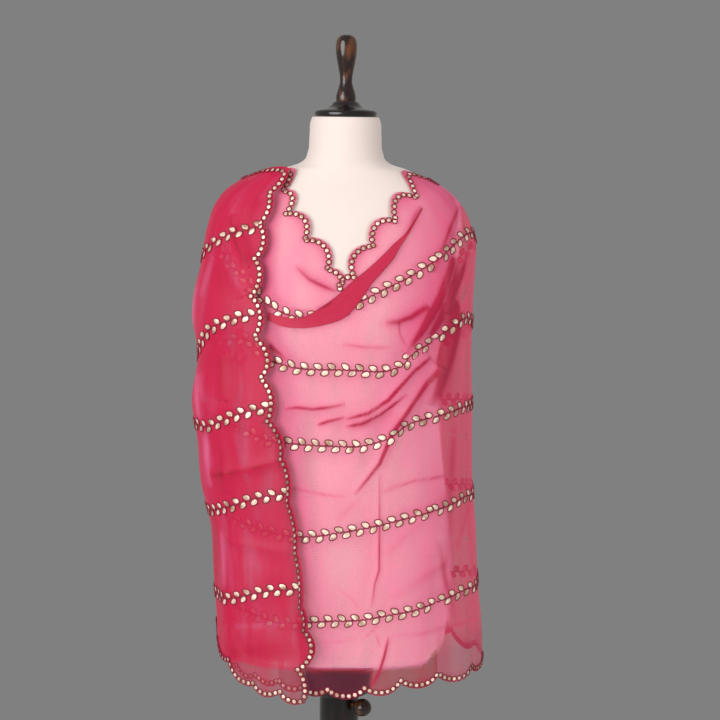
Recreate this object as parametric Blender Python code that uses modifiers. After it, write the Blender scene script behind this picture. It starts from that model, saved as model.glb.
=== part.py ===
"""Sheer dupatta stole with scalloped edges, wound as a cape about a limbless dress form on a turned stand.

Metres, +Z up, the front faces -Y, the floor is z = 0 and the pole's axis is x = y = 0. The cloth is one length of
organza wound once and a third about the form. Its place is told by a turn in degrees, counted the way the cloth runs:
180 is the wearer's right flank (the viewer's left), 270 the back, 360 the other flank, 450 the middle of the front.
"""

import math

import bmesh
import bpy
import numpy as np

# Cloth
WALL = 0.0015
SEAM_TURN = 0.10
FRONT_TURN = 450.0
EDGE_MARGIN = 0.0055
NECK_LOBE = 0.33
HEM_LOBE = 0.21
SHOULDER_LOBE = 0.10
END_LOBES = (0.23, 0.23, 0.23, 0.23, 0.23, 0.23, 0.20, 0.15, 0.10, 0.06, 0.04, 0.10, 0.26, 0.15)
BACK_HEM_LOBES = (0.21, 0.21, 0.21, 0.21, 0.21, 0.21, 0.21, 0.32)
LOBE_ROUND = 0.70
FOLD_TURNS = (380.0, 480.0)
FOLD_GAP = 0.0019
ROW_CROWDING = 1.45
BACK_ROWS = 14
FRONT_ROWS = 28
END_STEPS = 4
COWL_ROWS = 6
COWL_COLUMNS = 20

# Dress form and stand
FORM_BOTTOM = 0.650
REST_GAP = 0.0003
POLE_RADIUS = 0.0305
POLE_FOOT = 0.062
KNOB_RADIUS = 0.0138
KNOB_HEIGHT = 0.568
KNOB_REACH = 0.0520
KNOB_TURN = math.radians(-46.0)
SHANK_RADIUS = 0.0048
SHANK_LENGTH = 0.0065
RING_POINTS = 32
TORSO_RINGS = 12

# How the cloth hangs, as level rings: height, half width on the viewer's right, half width on the viewer's left of the
# outer layer and of the layer under it, depth to the front, depth to the back, roundness of the ring
HULL = np.array([
    (0.600, 0.2200, 0.1800, 0.1700, 0.1440, 0.1350, 2.4),
    (0.686, 0.2170, 0.1840, 0.1740, 0.1420, 0.1340, 2.4),
    (0.760, 0.2100, 0.1870, 0.1780, 0.1400, 0.1320, 2.4),
    (0.850, 0.2030, 0.1920, 0.1820, 0.1380, 0.1290, 2.4),
    (0.913, 0.1970, 0.2070, 0.1930, 0.1365, 0.1230, 2.4),
    (0.980, 0.1946, 0.2130, 0.1980, 0.1350, 0.1180, 2.4),
    (1.036, 0.1940, 0.2220, 0.2030, 0.1340, 0.1130, 2.4),
    (1.108, 0.1920, 0.2130, 0.1990, 0.1325, 0.1090, 2.4),
    (1.165, 0.1928, 0.2215, 0.2020, 0.1320, 0.1070, 2.4),
    (1.200, 0.1935, 0.2180, 0.2000, 0.1290, 0.1050, 2.4),
    (1.240, 0.1950, 0.2080, 0.1960, 0.1190, 0.1020, 2.4),
    (1.276, 0.1950, 0.2030, 0.1930, 0.1050, 0.0970, 2.3),
    (1.303, 0.1870, 0.1970, 0.1860, 0.0940, 0.0910, 2.2),
    (1.331, 0.1720, 0.1860, 0.1715, 0.0820, 0.0830, 2.1),
    (1.352, 0.1510, 0.1680, 0.1515, 0.0710, 0.0730, 2.0),
    (1.366, 0.1270, 0.1460, 0.1290, 0.0630, 0.0645, 2.0),
    (1.376, 0.1065, 0.1280, 0.1110, 0.0590, 0.0605, 2.0),
    (1.386, 0.0890, 0.1080, 0.0930, 0.0565, 0.0575, 2.0),
    (1.400, 0.0700, 0.0760, 0.0720, 0.0550, 0.0560, 2.0),
])

# How far each stretch lies outside those rings: turn, distance
LIFT = np.array([
    (95.0, 0.0115),
    (125.0, 0.0105),
    (150.0, 0.0080),
    (175.0, 0.0040),
    (200.0, 0.0040),
    (250.0, 0.0040),
    (300.0, 0.0),
    (540.0, 0.0),
    (570.0, -0.0025),
    (605.0, -0.0030),
])

# Notches of the scalloped neck edge: turn, height
OUTER_NECK = ((130.0, 1.377), (168.0, 1.367), (205.0, 1.352))
BACK_NECK = (
    (205.0, 1.352),
    (228.0, 1.335),
    (250.0, 1.320),
    (272.0, 1.314),
    (294.0, 1.320),
    (318.0, 1.338),
    (343.0, 1.354),
)
SIDE_NECK = ((343.0, 1.354), (368.0, 1.360), (410.0, 1.342))
FRONT_NECK = (
    (410.0, 1.342),
    (428.0, 1.309),
    (440.0, 1.274),
    (447.0, 1.231),
    (450.7, 1.214),
    (454.5, 1.241),
    (464.3, 1.281),
    (476.2, 1.317),
    (484.9, 1.349),
)
UNDER_NECK = ((484.9, 1.349), (512.0, 1.369), (540.0, 1.360), (570.0, 1.344), (600.0, 1.332))

# Notches of the scalloped hem: turn, height
OUTER_HEM = (
    (102.0, 0.617),
    (112.0, 0.630),
    (127.0, 0.634),
    (145.0, 0.660),
    (163.0, 0.682),
    (184.0, 0.690),
    (205.0, 0.682),
)
BACK_HEM = (
    (205.0, 0.682),
    (222.0, 0.677),
    (239.0, 0.672),
    (256.0, 0.667),
    (272.0, 0.663),
    (288.0, 0.660),
    (304.0, 0.657),
    (320.0, 0.655),
    (343.0, 0.650),
)
SIDE_HEM = ((343.0, 0.650), (366.0, 0.652), (389.0, 0.651), (412.0, 0.650))
FRONT_HEM = (
    (412.0, 0.650),
    (430.0, 0.645),
    (443.0, 0.634),
    (453.0, 0.632),
    (464.0, 0.634),
    (476.0, 0.642),
)
UNDER_HEM = (
    (476.0, 0.642),
    (492.0, 0.642),
    (508.0, 0.648),
    (528.0, 0.664),
    (552.0, 0.676),
    (576.0, 0.680),
    (600.0, 0.680),
)

# Notches down the outer short end: turn, height
OUTER_END = (
    (130.0, 1.377),
    (126.0, 1.346),
    (124.0, 1.303),
    (122.0, 1.255),
    (121.0, 1.203),
    (119.0, 1.145),
    (117.0, 1.086),
    (113.0, 1.025),
    (109.0, 0.973),
    (107.0, 0.908),
    (105.0, 0.837),
    (103.0, 0.757),
    (101.5, 0.722),
    (104.0, 0.663),
    (102.0, 0.617),
)

# The main folds across the front, seen from in front: height of the fold, half breadth, then x and z along it
FOLDS = (
    (0.0060, 0.0110, ((0.165, 1.331), (0.152, 1.307), (0.136, 1.268), (0.128, 1.240))),
    (0.0075, 0.0120, ((0.155, 1.260), (0.146, 1.234), (0.136, 1.207), (0.109, 1.154), (0.089, 1.124))),
    (0.0060, 0.0130, ((0.162, 1.197), (0.162, 1.155), (0.150, 1.115), (0.136, 1.070), (0.128, 1.047))),
    (0.0050, 0.0110, ((0.126, 1.117), (0.101, 1.098), (0.064, 1.057), (0.038, 1.039), (0.005, 1.029))),
    (0.0065, 0.0110, ((0.140, 1.103), (0.119, 1.080), (0.084, 1.028), (0.070, 1.008), (0.054, 0.966), (0.020, 0.920))),
)

# The cowl fold under the neck: x and z of its upper edge, x and z of its lower edge, how far it stands out
COWL = np.array([
    (0.111, 1.3290, 0.1115, 1.3260, 0.0005),
    (0.090, 1.2960, 0.0925, 1.2920, 0.0020),
    (0.071, 1.2780, 0.0810, 1.2750, 0.0040),
    (0.052, 1.2590, 0.0720, 1.2590, 0.0055),
    (0.033, 1.2420, 0.0580, 1.2420, 0.0065),
    (0.011, 1.2240, 0.0410, 1.2230, 0.0070),
    (-0.009, 1.2050, 0.0270, 1.2020, 0.0070),
    (-0.032, 1.1880, 0.0030, 1.1750, 0.0065),
    (-0.058, 1.1740, -0.0310, 1.1630, 0.0050),
    (-0.080, 1.1740, -0.0600, 1.1590, 0.0030),
    (-0.093, 1.1760, -0.0860, 1.1610, 0.0012),
    (-0.105, 1.1800, -0.1060, 1.1690, 0.0),
])

# The dress form as level rings: height, half width, depth to the front, depth to the back, roundness
FORM = np.array([
    (0.650, 0.1520, 0.0985, 0.0985, 2.8),
    (0.653, 0.1565, 0.1030, 0.1025, 2.8),
    (0.660, 0.1590, 0.1062, 0.1060, 2.7),
    (0.690, 0.1610, 0.1080, 0.1080, 2.5),
    (0.750, 0.1650, 0.1110, 0.1110, 2.4),
    (0.810, 0.1645, 0.1120, 0.1120, 2.4),
    (0.890, 0.1580, 0.1100, 0.1060, 2.4),
    (0.970, 0.1480, 0.1040, 0.0920, 2.3),
    (1.040, 0.1425, 0.1000, 0.0820, 2.3),
    (1.100, 0.1425, 0.1080, 0.0840, 2.3),
    (1.160, 0.1480, 0.1220, 0.0900, 2.3),
    (1.210, 0.1580, 0.1220, 0.0950, 2.3),
    (1.260, 0.1700, 0.1070, 0.0930, 2.2),
    (1.300, 0.1740, 0.0890, 0.0860, 2.1),
    (1.3295, 0.1680, 0.0770, 0.0770, 2.0),
    (1.3505, 0.1490, 0.0670, 0.0670, 2.0),
    (1.3645, 0.1245, 0.0600, 0.0600, 2.0),
    (1.3750, 0.1035, 0.0560, 0.0565, 2.0),
    (1.3825, 0.0865, 0.0540, 0.0545, 2.0),
    (1.3865, 0.0730, 0.0535, 0.0540, 2.0),
    (1.3925, 0.0620, 0.0533, 0.0535, 2.0),
    (1.4050, 0.0555, 0.0530, 0.0530, 2.0),
    (1.4300, 0.0530, 0.0518, 0.0518, 2.0),
    (1.4540, 0.0503, 0.0503, 0.0503, 2.0),
    (1.4570, 0.0488, 0.0488, 0.0488, 2.0),
])

# Turned profiles from the axis outwards: radius, height
FINIAL_PROFILE = (
    (0.0, 1.4796),
    (0.0146, 1.4796),
    (0.0150, 1.4850),
    (0.0136, 1.4925),
    (0.0108, 1.5010),
    (0.0092, 1.5085),
    (0.0096, 1.5160),
    (0.0112, 1.5250),
    (0.0136, 1.5370),
    (0.0155, 1.5480),
    (0.0161, 1.5580),
    (0.0150, 1.5670),
    (0.0112, 1.5735),
    (0.0058, 1.5762),
    (0.0, 1.5770),
)
CAP_PROFILE = (
    (0.0, 1.4573),
    (0.0449, 1.4573),
    (0.0465, 1.4590),
    (0.0465, 1.4632),
    (0.0446, 1.4660),
    (0.0385, 1.4682),
    (0.0290, 1.4705),
    (0.0225, 1.4742),
    (0.0188, 1.4782),
    (0.0176, 1.4793),
    (0.0, 1.4793),
)
COLLAR_PROFILE = (
    (0.0308, 0.5850),
    (0.0480, 0.5850),
    (0.0500, 0.5870),
    (0.0530, 0.6080),
    (0.0560, 0.6300),
    (0.0575, 0.6380),
    (0.0580, 0.6470),
    (0.0568, 0.6497),
    (0.0308, 0.6497),
)
BASE_PROFILE = (
    (0.0, 0.0),
    (0.1720, 0.0),
    (0.1750, 0.0040),
    (0.1750, 0.0140),
    (0.1700, 0.0190),
    (0.1400, 0.0215),
    (0.1000, 0.0270),
    (0.0660, 0.0370),
    (0.0490, 0.0480),
    (0.0440, 0.0560),
    (0.0420, 0.0617),
    (0.0, 0.0617),
)


def clear_scene():
    for found in list(bpy.data.objects):
        bpy.data.objects.remove(found, do_unlink=True)
    for found in list(bpy.data.collections):
        bpy.data.collections.remove(found)


def new_collection(name):
    made = bpy.data.collections.new(name)
    bpy.context.scene.collection.children.link(made)
    return made


def material(name, colour, roughness, alpha=1.0):
    made = bpy.data.materials.new(name)
    made.use_nodes = True
    shader = made.node_tree.nodes["Principled BSDF"]
    shader.inputs["Base Color"].default_value = (*colour, 1.0)
    shader.inputs["Roughness"].default_value = roughness
    shader.inputs["Alpha"].default_value = alpha
    made.diffuse_color = (*colour, alpha)
    return made


def smooth_table(rows, column, at):
    """Cubic curve through one column of a table whose first column rises."""
    key = rows[:, 0]
    value = rows[:, column]
    slope = np.gradient(value, key)
    at = np.clip(at, key[0], key[-1])
    low = np.clip(np.searchsorted(key, at) - 1, 0, len(key) - 2)
    step = key[low + 1] - key[low]
    f = (at - key[low]) / step
    start = value[low] * (1 + 2 * f) * (1 - f) ** 2 + step * slope[low] * f * (1 - f) ** 2
    end = value[low + 1] * f * f * (3 - 2 * f) + step * slope[low + 1] * f * f * (f - 1)
    return start + end


def half_width(turn, height, cosine):
    """Half width of the cloth's ring: right, left outer layer, or left layer under it."""
    left = np.where(
        turn < FRONT_TURN,
        smooth_table(HULL, 2, height),
        smooth_table(HULL, 3, height),
    )
    return np.where(cosine > 0, smooth_table(HULL, 1, height), left)


def ring_point(turn, height, lift):
    """Point of the ring at this height and turn: x = a |cos|^(2/n), y = -b |sin|^(2/n), both signed."""
    angle = np.radians(turn)
    cosine = np.cos(angle)
    sine = np.sin(angle)
    power = 2.0 / smooth_table(HULL, 6, height)
    across = half_width(turn, height, cosine) + lift
    deep = np.where(sine > 0, smooth_table(HULL, 4, height), smooth_table(HULL, 5, height)) + lift
    x = across * np.sign(cosine) * np.abs(cosine) ** power
    y = -deep * np.sign(sine) * np.abs(sine) ** power
    return x, y


def fold_height(x, z):
    """How far the main folds push the cloth out: a bell over the distance from each fold's line, fading at its ends."""
    total = np.zeros_like(x)
    for high, broad, line in FOLDS:
        line = np.array(line)
        nearest = np.full(x.shape, 9.0)
        share = np.zeros(x.shape)
        count = len(line) - 1
        for i in range(count):
            step = line[i + 1] - line[i]
            along = ((x - line[i, 0]) * step[0] + (z - line[i, 1]) * step[1]) / (step @ step)
            along = np.clip(along, 0.0, 1.0)
            gap = np.hypot(x - line[i, 0] - along * step[0], z - line[i, 1] - along * step[1])
            share = np.where(gap < nearest, (i + along) / count, share)
            nearest = np.minimum(gap, nearest)
        total = total + high * np.exp(-((nearest / broad) ** 2)) * np.sin(np.pi * share) ** 0.5
    return total


def cloth_point(turn, height, extra=0.0):
    """Points of the cloth's middle surface, as an array that ends in x, y, z."""
    lift = np.interp(turn, LIFT[:, 0], LIFT[:, 1]) + extra
    x, y = ring_point(turn, height, lift)
    front = (turn > FOLD_TURNS[0]) & (turn < FOLD_TURNS[1])
    push = np.where(front, fold_height(x, height), 0.0)
    x, y = ring_point(turn, height, lift + push)
    return np.stack([x, y, height + 0.0 * x], axis=-1)


def metres_per_degree(turn, height):
    ahead = cloth_point(turn + 0.5, height)
    behind = cloth_point(turn - 0.5, height)
    return np.linalg.norm((ahead - behind)[..., :2], axis=-1)


def scalloped(notches, pieces, lobes, outward):
    """The straight runs between the notches, and the edge outside them with a round lobe to each run.

    pieces is the steps to a lobe, lobes its depth as a share of the run, and outward +1 for up, -1 for down or towards
    smaller turns. The edge lies a margin outside the notches.
    """
    notches = np.array(notches)
    middle = 0.5 * (notches[1:] + notches[:-1])
    scale = np.stack([metres_per_degree(middle[:, 0], middle[:, 1]), np.ones(len(middle))], axis=-1)
    run = np.diff(notches, axis=0) * scale
    long = np.linalg.norm(run, axis=-1, keepdims=True)
    normal = outward * np.stack([-run[:, 1], run[:, 0]], axis=-1) / long
    shared = np.concatenate([normal[:1], normal[1:] + normal[:-1], normal[-1:]])
    shared = shared / np.linalg.norm(shared, axis=-1, keepdims=True)
    u = (np.arange(pieces) / pieces)[None, :, None]
    deep = np.broadcast_to(lobes, len(long))[:, None, None] * long[:, None]
    out = deep * np.sin(np.pi * u) ** LOBE_ROUND * normal[:, None]
    out = out + EDGE_MARGIN * ((1 - u) * shared[:-1, None] + u * shared[1:, None])
    straight = notches[:-1, None] * (1 - u) + notches[1:, None] * u
    edge = straight + out / scale[:, None]
    last = notches[-1:] + EDGE_MARGIN * shared[-1:] / scale[-1:]
    return (
        np.concatenate([straight.reshape(-1, 2), notches[-1:]]),
        np.concatenate([edge.reshape(-1, 2), last]),
    )


def at_seam(straight, edge, end, outward):
    """One end of an edge moved clear of the neighbour's, its margin in line with the seam."""
    moved = SEAM_TURN if end == 0 else -SEAM_TURN
    straight[end, 0] += moved
    edge[end] = straight[end] + np.array([0.0, outward * EDGE_MARGIN])


def straight_side(start, end, share):
    start = np.array(start)
    end = np.array(end)
    return start + (end - start) * share[:, None]


def patch(top, bottom, left, right):
    """Surface grid between four edges: opposite edges blended, less the blend of the corners."""
    u = np.linspace(0.0, 1.0, len(top))[None, :, None]
    v = np.linspace(0.0, 1.0, len(left))[:, None, None]
    ruled = (1 - v) * top[None] + v * bottom[None] + (1 - u) * left[:, None] + u * right[:, None]
    corners = (1 - v) * ((1 - u) * top[0] + u * top[-1]) + v * ((1 - u) * bottom[0] + u * bottom[-1])
    return ruled - corners


def shares(rows):
    """Shares of the height at each row, closer together over the shoulder."""
    return np.linspace(0.0, 1.0, rows + 1) ** ROW_CROWDING


def follow_neighbour(column, step):
    """Points of a seam moved onto the straight runs of a neighbour that has one row for each step of these."""
    place = np.arange(len(column))
    return np.stack([np.interp(place, place[::step], column[::step, axis]) for axis in range(3)], axis=-1)


def mesh_object(name, points, faces, slot, collection):
    mesh = bpy.data.meshes.new(name)
    mesh.from_pydata([tuple(map(float, point)) for point in points], [], faces)
    mesh.update()
    made = bpy.data.objects.new(name, mesh)
    made.data.materials.append(slot)
    collection.objects.link(made)
    return made


def grid_faces(rows, columns):
    return [
        (
            row * columns + column,
            (row + 1) * columns + column,
            (row + 1) * columns + column + 1,
            row * columns + column + 1,
        )
        for row in range(rows - 1)
        for column in range(columns - 1)
    ]


def cloth_wall(name, points, slot, collection):
    """A grid of points given a wall of cloth, half of it on each side."""
    rows, columns = points.shape[:2]
    made = mesh_object(name, points.reshape(-1, 3), grid_faces(rows, columns), slot, collection)
    wall = made.modifiers.new("wall", "SOLIDIFY")
    wall.thickness = WALL
    wall.offset = 0.0
    return made


def stretch(name, neck, hem, columns, rows, slot, collection, before=1, after=1, hem_lobes=HEM_LOBE):
    """One stretch of the wound cloth from neck edge to hem, clear of its neighbours at both seams.

    before and after are its rows to each row of the neighbour at its start and at its end.
    """
    top, neck_edge = scalloped(neck, columns // (len(neck) - 1), NECK_LOBE, 1.0)
    bottom, hem_edge = scalloped(hem, columns // (len(hem) - 1), hem_lobes, -1.0)
    for end in (0, -1):
        at_seam(top, neck_edge, end, 1.0)
        at_seam(bottom, hem_edge, end, -1.0)
    left = straight_side(top[0], hem_edge[0], shares(rows))
    right = straight_side(top[-1], hem_edge[-1], shares(rows))
    flat = np.concatenate([neck_edge[None], patch(top, hem_edge, left, right)])
    points = cloth_point(flat[..., 0], flat[..., 1])
    points[1:, 0] = follow_neighbour(points[1:, 0], before)
    points[1:, -1] = follow_neighbour(points[1:, -1], after)
    return cloth_wall(name, points, slot, collection)


def outer_end(name, slot, collection):
    """The outer end of the cloth, whose short edge runs down the front with its own scallops."""
    left, end_edge = scalloped(OUTER_END, END_STEPS, END_LOBES, -1.0)
    top, neck_edge = scalloped(OUTER_NECK, 6, SHOULDER_LOBE, 1.0)
    bottom, hem_edge = scalloped(OUTER_HEM, 2, HEM_LOBE, -1.0)
    at_seam(top, neck_edge, -1, 1.0)
    at_seam(bottom, hem_edge, -1, -1.0)
    hem_edge[0] = left[-1]
    right = straight_side(top[-1], hem_edge[-1], shares(len(left) - 1))
    flat = np.concatenate([neck_edge[None], patch(top, hem_edge, left, right)])
    corner = neck_edge[0] + end_edge[0] - left[0]
    flat = np.concatenate([np.concatenate([corner[None], end_edge])[:, None], flat], axis=1)
    points = cloth_point(flat[..., 0], flat[..., 1])
    points[1:, -1] = follow_neighbour(points[1:, -1], (len(left) - 1) // BACK_ROWS)
    return cloth_wall(name, points, slot, collection)


def turn_at(x, z):
    """Turn of the front point of the ring at this height that has this x."""
    cosine = np.sign(x)
    across = half_width(np.full(x.shape, FRONT_TURN + 1.0), z, cosine)
    power = smooth_table(HULL, 6, z) / 2.0
    return 360.0 + np.degrees(np.arccos(cosine * (np.abs(x) / across) ** power))


def cowl_fold(name, slot, collection):
    """The soft fold under the neck, laid on the front stretch: edges close to it, the middle standing out."""
    key = np.linspace(0.0, 1.0, len(COWL))
    table = np.column_stack([key, COWL])
    u = np.linspace(0.0, 1.0, COWL_COLUMNS + 1)
    w = np.linspace(0.0, 1.0, COWL_ROWS + 1)[:, None]
    x = (1 - w) * smooth_table(table, 1, u) + w * smooth_table(table, 3, u)
    z = (1 - w) * smooth_table(table, 2, u) + w * smooth_table(table, 4, u)
    stand = np.clip(smooth_table(table, 5, u), 0.0, 1.0)
    extra = FOLD_GAP + stand * np.sin(np.pi * w) ** 0.8
    points = cloth_point(turn_at(x, z), z, extra)
    return cloth_wall(name, points[:, ::-1], slot, collection)


def dress_form(name, slot, collection):
    """Torso, shoulders and neck in one body, lofted through level rings."""
    heights = np.concatenate([
        FORM[:3, 0],
        np.linspace(FORM[3, 0], FORM[14, 0], TORSO_RINGS),
        FORM[15:, 0],
    ])
    angles = np.linspace(0.0, 2 * math.pi, RING_POINTS, endpoint=False)
    power = 2.0 / smooth_table(FORM, 4, heights)[:, None]
    cosine = np.cos(angles)[None]
    sine = np.sin(angles)[None]
    across = smooth_table(FORM, 1, heights)[:, None]
    deep = np.where(
        sine < 0,
        smooth_table(FORM, 2, heights)[:, None],
        smooth_table(FORM, 3, heights)[:, None],
    )
    x = across * np.sign(cosine) * np.abs(cosine) ** power
    y = deep * np.sign(sine) * np.abs(sine) ** power
    z = heights[:, None] + 0.0 * x
    points = np.stack([x, y, z], axis=-1).reshape(-1, 3)
    faces = [
        (
            ring * RING_POINTS + i,
            ring * RING_POINTS + (i + 1) % RING_POINTS,
            (ring + 1) * RING_POINTS + (i + 1) % RING_POINTS,
            (ring + 1) * RING_POINTS + i,
        )
        for ring in range(len(heights) - 1)
        for i in range(RING_POINTS)
    ]
    faces.append(tuple(reversed(range(RING_POINTS))))
    last = (len(heights) - 1) * RING_POINTS
    faces.append(tuple(range(last, last + RING_POINTS)))
    return mesh_object(name, points, faces, slot, collection)


def turned(name, profile, steps, slot, collection, closed=False):
    """A profile of radius and height spun about the pole's axis; a closed profile makes a ring."""
    mesh = bpy.data.meshes.new(name)
    count = len(profile)
    edges = [(i, i + 1) for i in range(count - 1)]
    if closed:
        edges.append((count - 1, 0))
    mesh.from_pydata([(radius, 0.0, height) for radius, height in profile], edges, [])
    made = bpy.data.objects.new(name, mesh)
    made.data.materials.append(slot)
    collection.objects.link(made)
    spin = made.modifiers.new("spin", "SCREW")
    spin.axis = "Z"
    spin.steps = steps
    spin.render_steps = steps
    spin.use_merge_vertices = True
    spin.merge_threshold = 0.00005
    spin.use_normal_calculate = True
    return made


def clamp_knob(name, slot, collection):
    """Ball with a short shank, its inner end just clear of the pole."""
    shank_end = POLE_RADIUS + REST_GAP
    ball = KNOB_REACH - shank_end
    profile = [(0.0, 0.0), (SHANK_RADIUS, 0.0), (SHANK_RADIUS, SHANK_LENGTH)]
    for step in range(3, 12):
        angle = math.pi * step / 12.0
        profile.append((KNOB_RADIUS * math.sin(angle), ball - KNOB_RADIUS * math.cos(angle)))
    profile.append((0.0, ball + KNOB_RADIUS))
    made = turned(name, profile, 20, slot, collection)
    made.rotation_euler = (0.0, math.pi / 2.0, KNOB_TURN)
    made.location = (shank_end * math.cos(KNOB_TURN), shank_end * math.sin(KNOB_TURN), KNOB_HEIGHT)
    return made


def pole(name, slot, collection):
    made = bpy.data.meshes.new(name)
    shape = bmesh.new()
    high = FORM_BOTTOM - REST_GAP - POLE_FOOT
    bmesh.ops.create_cone(
        shape,
        cap_ends=True,
        segments=32,
        radius1=POLE_RADIUS,
        radius2=POLE_RADIUS,
        depth=high,
    )
    shape.to_mesh(made)
    shape.free()
    body = bpy.data.objects.new(name, made)
    body.location = (0.0, 0.0, POLE_FOOT + high / 2.0)
    body.data.materials.append(slot)
    collection.objects.link(body)
    return body


def build():
    clear_scene()
    stole = new_collection("dupatta_stole_on_a_dress_form")
    organza = material("crimson organza", (0.70, 0.05, 0.14), 0.45, 0.75)
    fold_cloth = material("crimson organza folded", (0.62, 0.03, 0.10), 0.45, 0.9)
    jersey = material("cream jersey", (0.93, 0.86, 0.80), 0.8)
    wood = material("dark polished wood", (0.06, 0.025, 0.015), 0.18)
    black = material("black lacquered wood", (0.02, 0.016, 0.015), 0.22)
    pole_black = material("black pole", (0.018, 0.014, 0.013), 0.3)
    knob_wood = material("dark knob wood", (0.05, 0.02, 0.012), 0.2)
    base_black = material("black base", (0.02, 0.016, 0.015), 0.3)
    collar_black = material("black collar", (0.022, 0.016, 0.014), 0.28)
    outer_end("cloth_outer_end", organza, stole)
    finer = FRONT_ROWS // BACK_ROWS
    stretch("cloth_back", BACK_NECK, BACK_HEM, 24, BACK_ROWS, organza.copy(), stole, hem_lobes=BACK_HEM_LOBES)
    stretch("cloth_right_side", SIDE_NECK, SIDE_HEM, 12, FRONT_ROWS, organza.copy(), stole, before=finer)
    stretch("cloth_front", FRONT_NECK, FRONT_HEM, 40, FRONT_ROWS, organza.copy(), stole, after=finer)
    stretch("cloth_under_lap", UNDER_NECK, UNDER_HEM, 24, BACK_ROWS, organza.copy(), stole)
    cowl_fold("cloth_cowl_fold", fold_cloth, stole)
    dress_form("dress_form_torso", jersey, stole)
    turned("neck_cap", CAP_PROFILE, 24, black, stole)
    turned("finial", FINIAL_PROFILE, 20, wood, stole)
    turned("stand_collar", COLLAR_PROFILE, 24, collar_black, stole, closed=True)
    pole("stand_pole", pole_black, stole)
    clamp_knob("clamp_knob", knob_wood, stole)
    turned("stand_base", BASE_PROFILE, 32, base_black, stole)


build()
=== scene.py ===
import bpy
import numpy as np
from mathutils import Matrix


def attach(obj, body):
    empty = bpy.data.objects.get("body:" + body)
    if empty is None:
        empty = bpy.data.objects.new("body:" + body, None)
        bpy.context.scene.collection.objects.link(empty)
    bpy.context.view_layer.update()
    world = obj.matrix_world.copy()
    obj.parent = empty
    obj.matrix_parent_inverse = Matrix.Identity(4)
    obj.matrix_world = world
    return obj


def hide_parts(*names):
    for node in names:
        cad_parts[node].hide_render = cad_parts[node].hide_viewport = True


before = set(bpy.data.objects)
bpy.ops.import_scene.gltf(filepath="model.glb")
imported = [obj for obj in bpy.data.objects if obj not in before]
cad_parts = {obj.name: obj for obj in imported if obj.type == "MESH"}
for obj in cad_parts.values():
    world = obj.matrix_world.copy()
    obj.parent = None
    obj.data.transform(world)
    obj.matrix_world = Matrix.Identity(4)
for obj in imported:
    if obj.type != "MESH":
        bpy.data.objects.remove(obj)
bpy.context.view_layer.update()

# The room: a pale matt floor under the stand, a plain grey surround and soft studio lights,
# the strongest in front and to the viewer's left, as the shadow beside the cloth's end shows.


def feed(tree, node, inputs):
    """Sets a node's inputs, by name or number, to plain values or to the outputs that feed them."""
    for name, value in inputs.items():
        socket = node.inputs[name]
        if isinstance(value, bpy.types.NodeSocket):
            tree.links.new(value, socket)
        elif socket.type == "RGBA":
            socket.default_value = (*value, 1.0)
        else:
            socket.default_value = value
    return node


def add(tree, kind, inputs=None, **settings):
    """A new shader node of this kind, with its settings and its inputs."""
    node = tree.nodes.new("ShaderNode" + kind)
    for name, value in settings.items():
        setattr(node, name, value)
    return feed(tree, node, inputs or {})


def material(name):
    """A new material, its node tree and its Principled shader."""
    made = bpy.data.materials.new(name)
    made.use_nodes = True
    return made, made.node_tree, made.node_tree.nodes["Principled BSDF"]


def floor_disc(radius, steps=96):
    """Flat ring of points x = r cos a, y = r sin a at floor level, closed by one face."""
    angle = np.linspace(0.0, 2 * np.pi, steps, endpoint=False)
    points = np.stack([radius * np.cos(angle), radius * np.sin(angle), 0.0 * angle - 0.0004], axis=-1)
    mesh = bpy.data.meshes.new("studio_floor")
    mesh.from_pydata(points.tolist(), [], [tuple(range(steps))])
    made = bpy.data.objects.new("studio_floor", mesh)
    finish, tree, shader = material("pale floor")
    feed(tree, shader, {"Base Color": (0.62, 0.61, 0.60), "Roughness": 0.7})
    made.data.materials.append(finish)
    bpy.context.scene.collection.objects.link(made)


def surround(seen, light):
    """Grey behind the object as the camera sees it, and a brighter even light from all round."""
    world = bpy.data.worlds.new("studio surround")
    bpy.context.scene.world = world
    world.use_nodes = True
    tree = world.node_tree
    tree.nodes.clear()
    camera_ray = add(tree, "LightPath").outputs["Is Camera Ray"]
    lit = add(tree, "Background", {"Color": (1.0, 0.985, 0.97), "Strength": light})
    grey = add(tree, "Background", {"Color": (seen, seen, seen)})
    mix = add(tree, "MixShader", {"Fac": camera_ray, 1: lit.outputs[0], 2: grey.outputs[0]})
    add(tree, "OutputWorld", {"Surface": mix.outputs[0]})


def soft_light(name, place, aim, size, power, glints=False):
    """Round lamp aimed at a point; with glints it also shows as a bright spot on the polished wood."""
    lamp = bpy.data.lights.new(name, "AREA")
    lamp.shape = "DISK"
    lamp.size = size
    lamp.energy = power
    made = bpy.data.objects.new(name, lamp)
    ahead = np.array(aim) - np.array(place)
    ahead = ahead / np.linalg.norm(ahead)
    made.location = place
    made.rotation_euler = (np.arccos(-ahead[2]), 0.0, np.arctan2(-ahead[0], ahead[1]))
    made.visible_glossy = glints
    bpy.context.scene.collection.objects.link(made)


floor_disc(1.35)
surround(seen=0.2159, light=0.45)
soft_light("key", (-1.9, -2.3, 1.9), (0.0, 0.0, 1.05), 2.4, 94.0, glints=True)
soft_light("fill", (1.6, -2.4, 1.7), (0.0, 0.0, 1.05), 1.5, 38.0)
soft_light("rim", (1.9, 1.6, 2.0), (0.0, 0.0, 1.1), 1.2, 4.0)
bpy.context.scene.view_settings.view_transform = "Standard"
bpy.context.scene.cycles.transparent_max_bounces = 24

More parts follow.
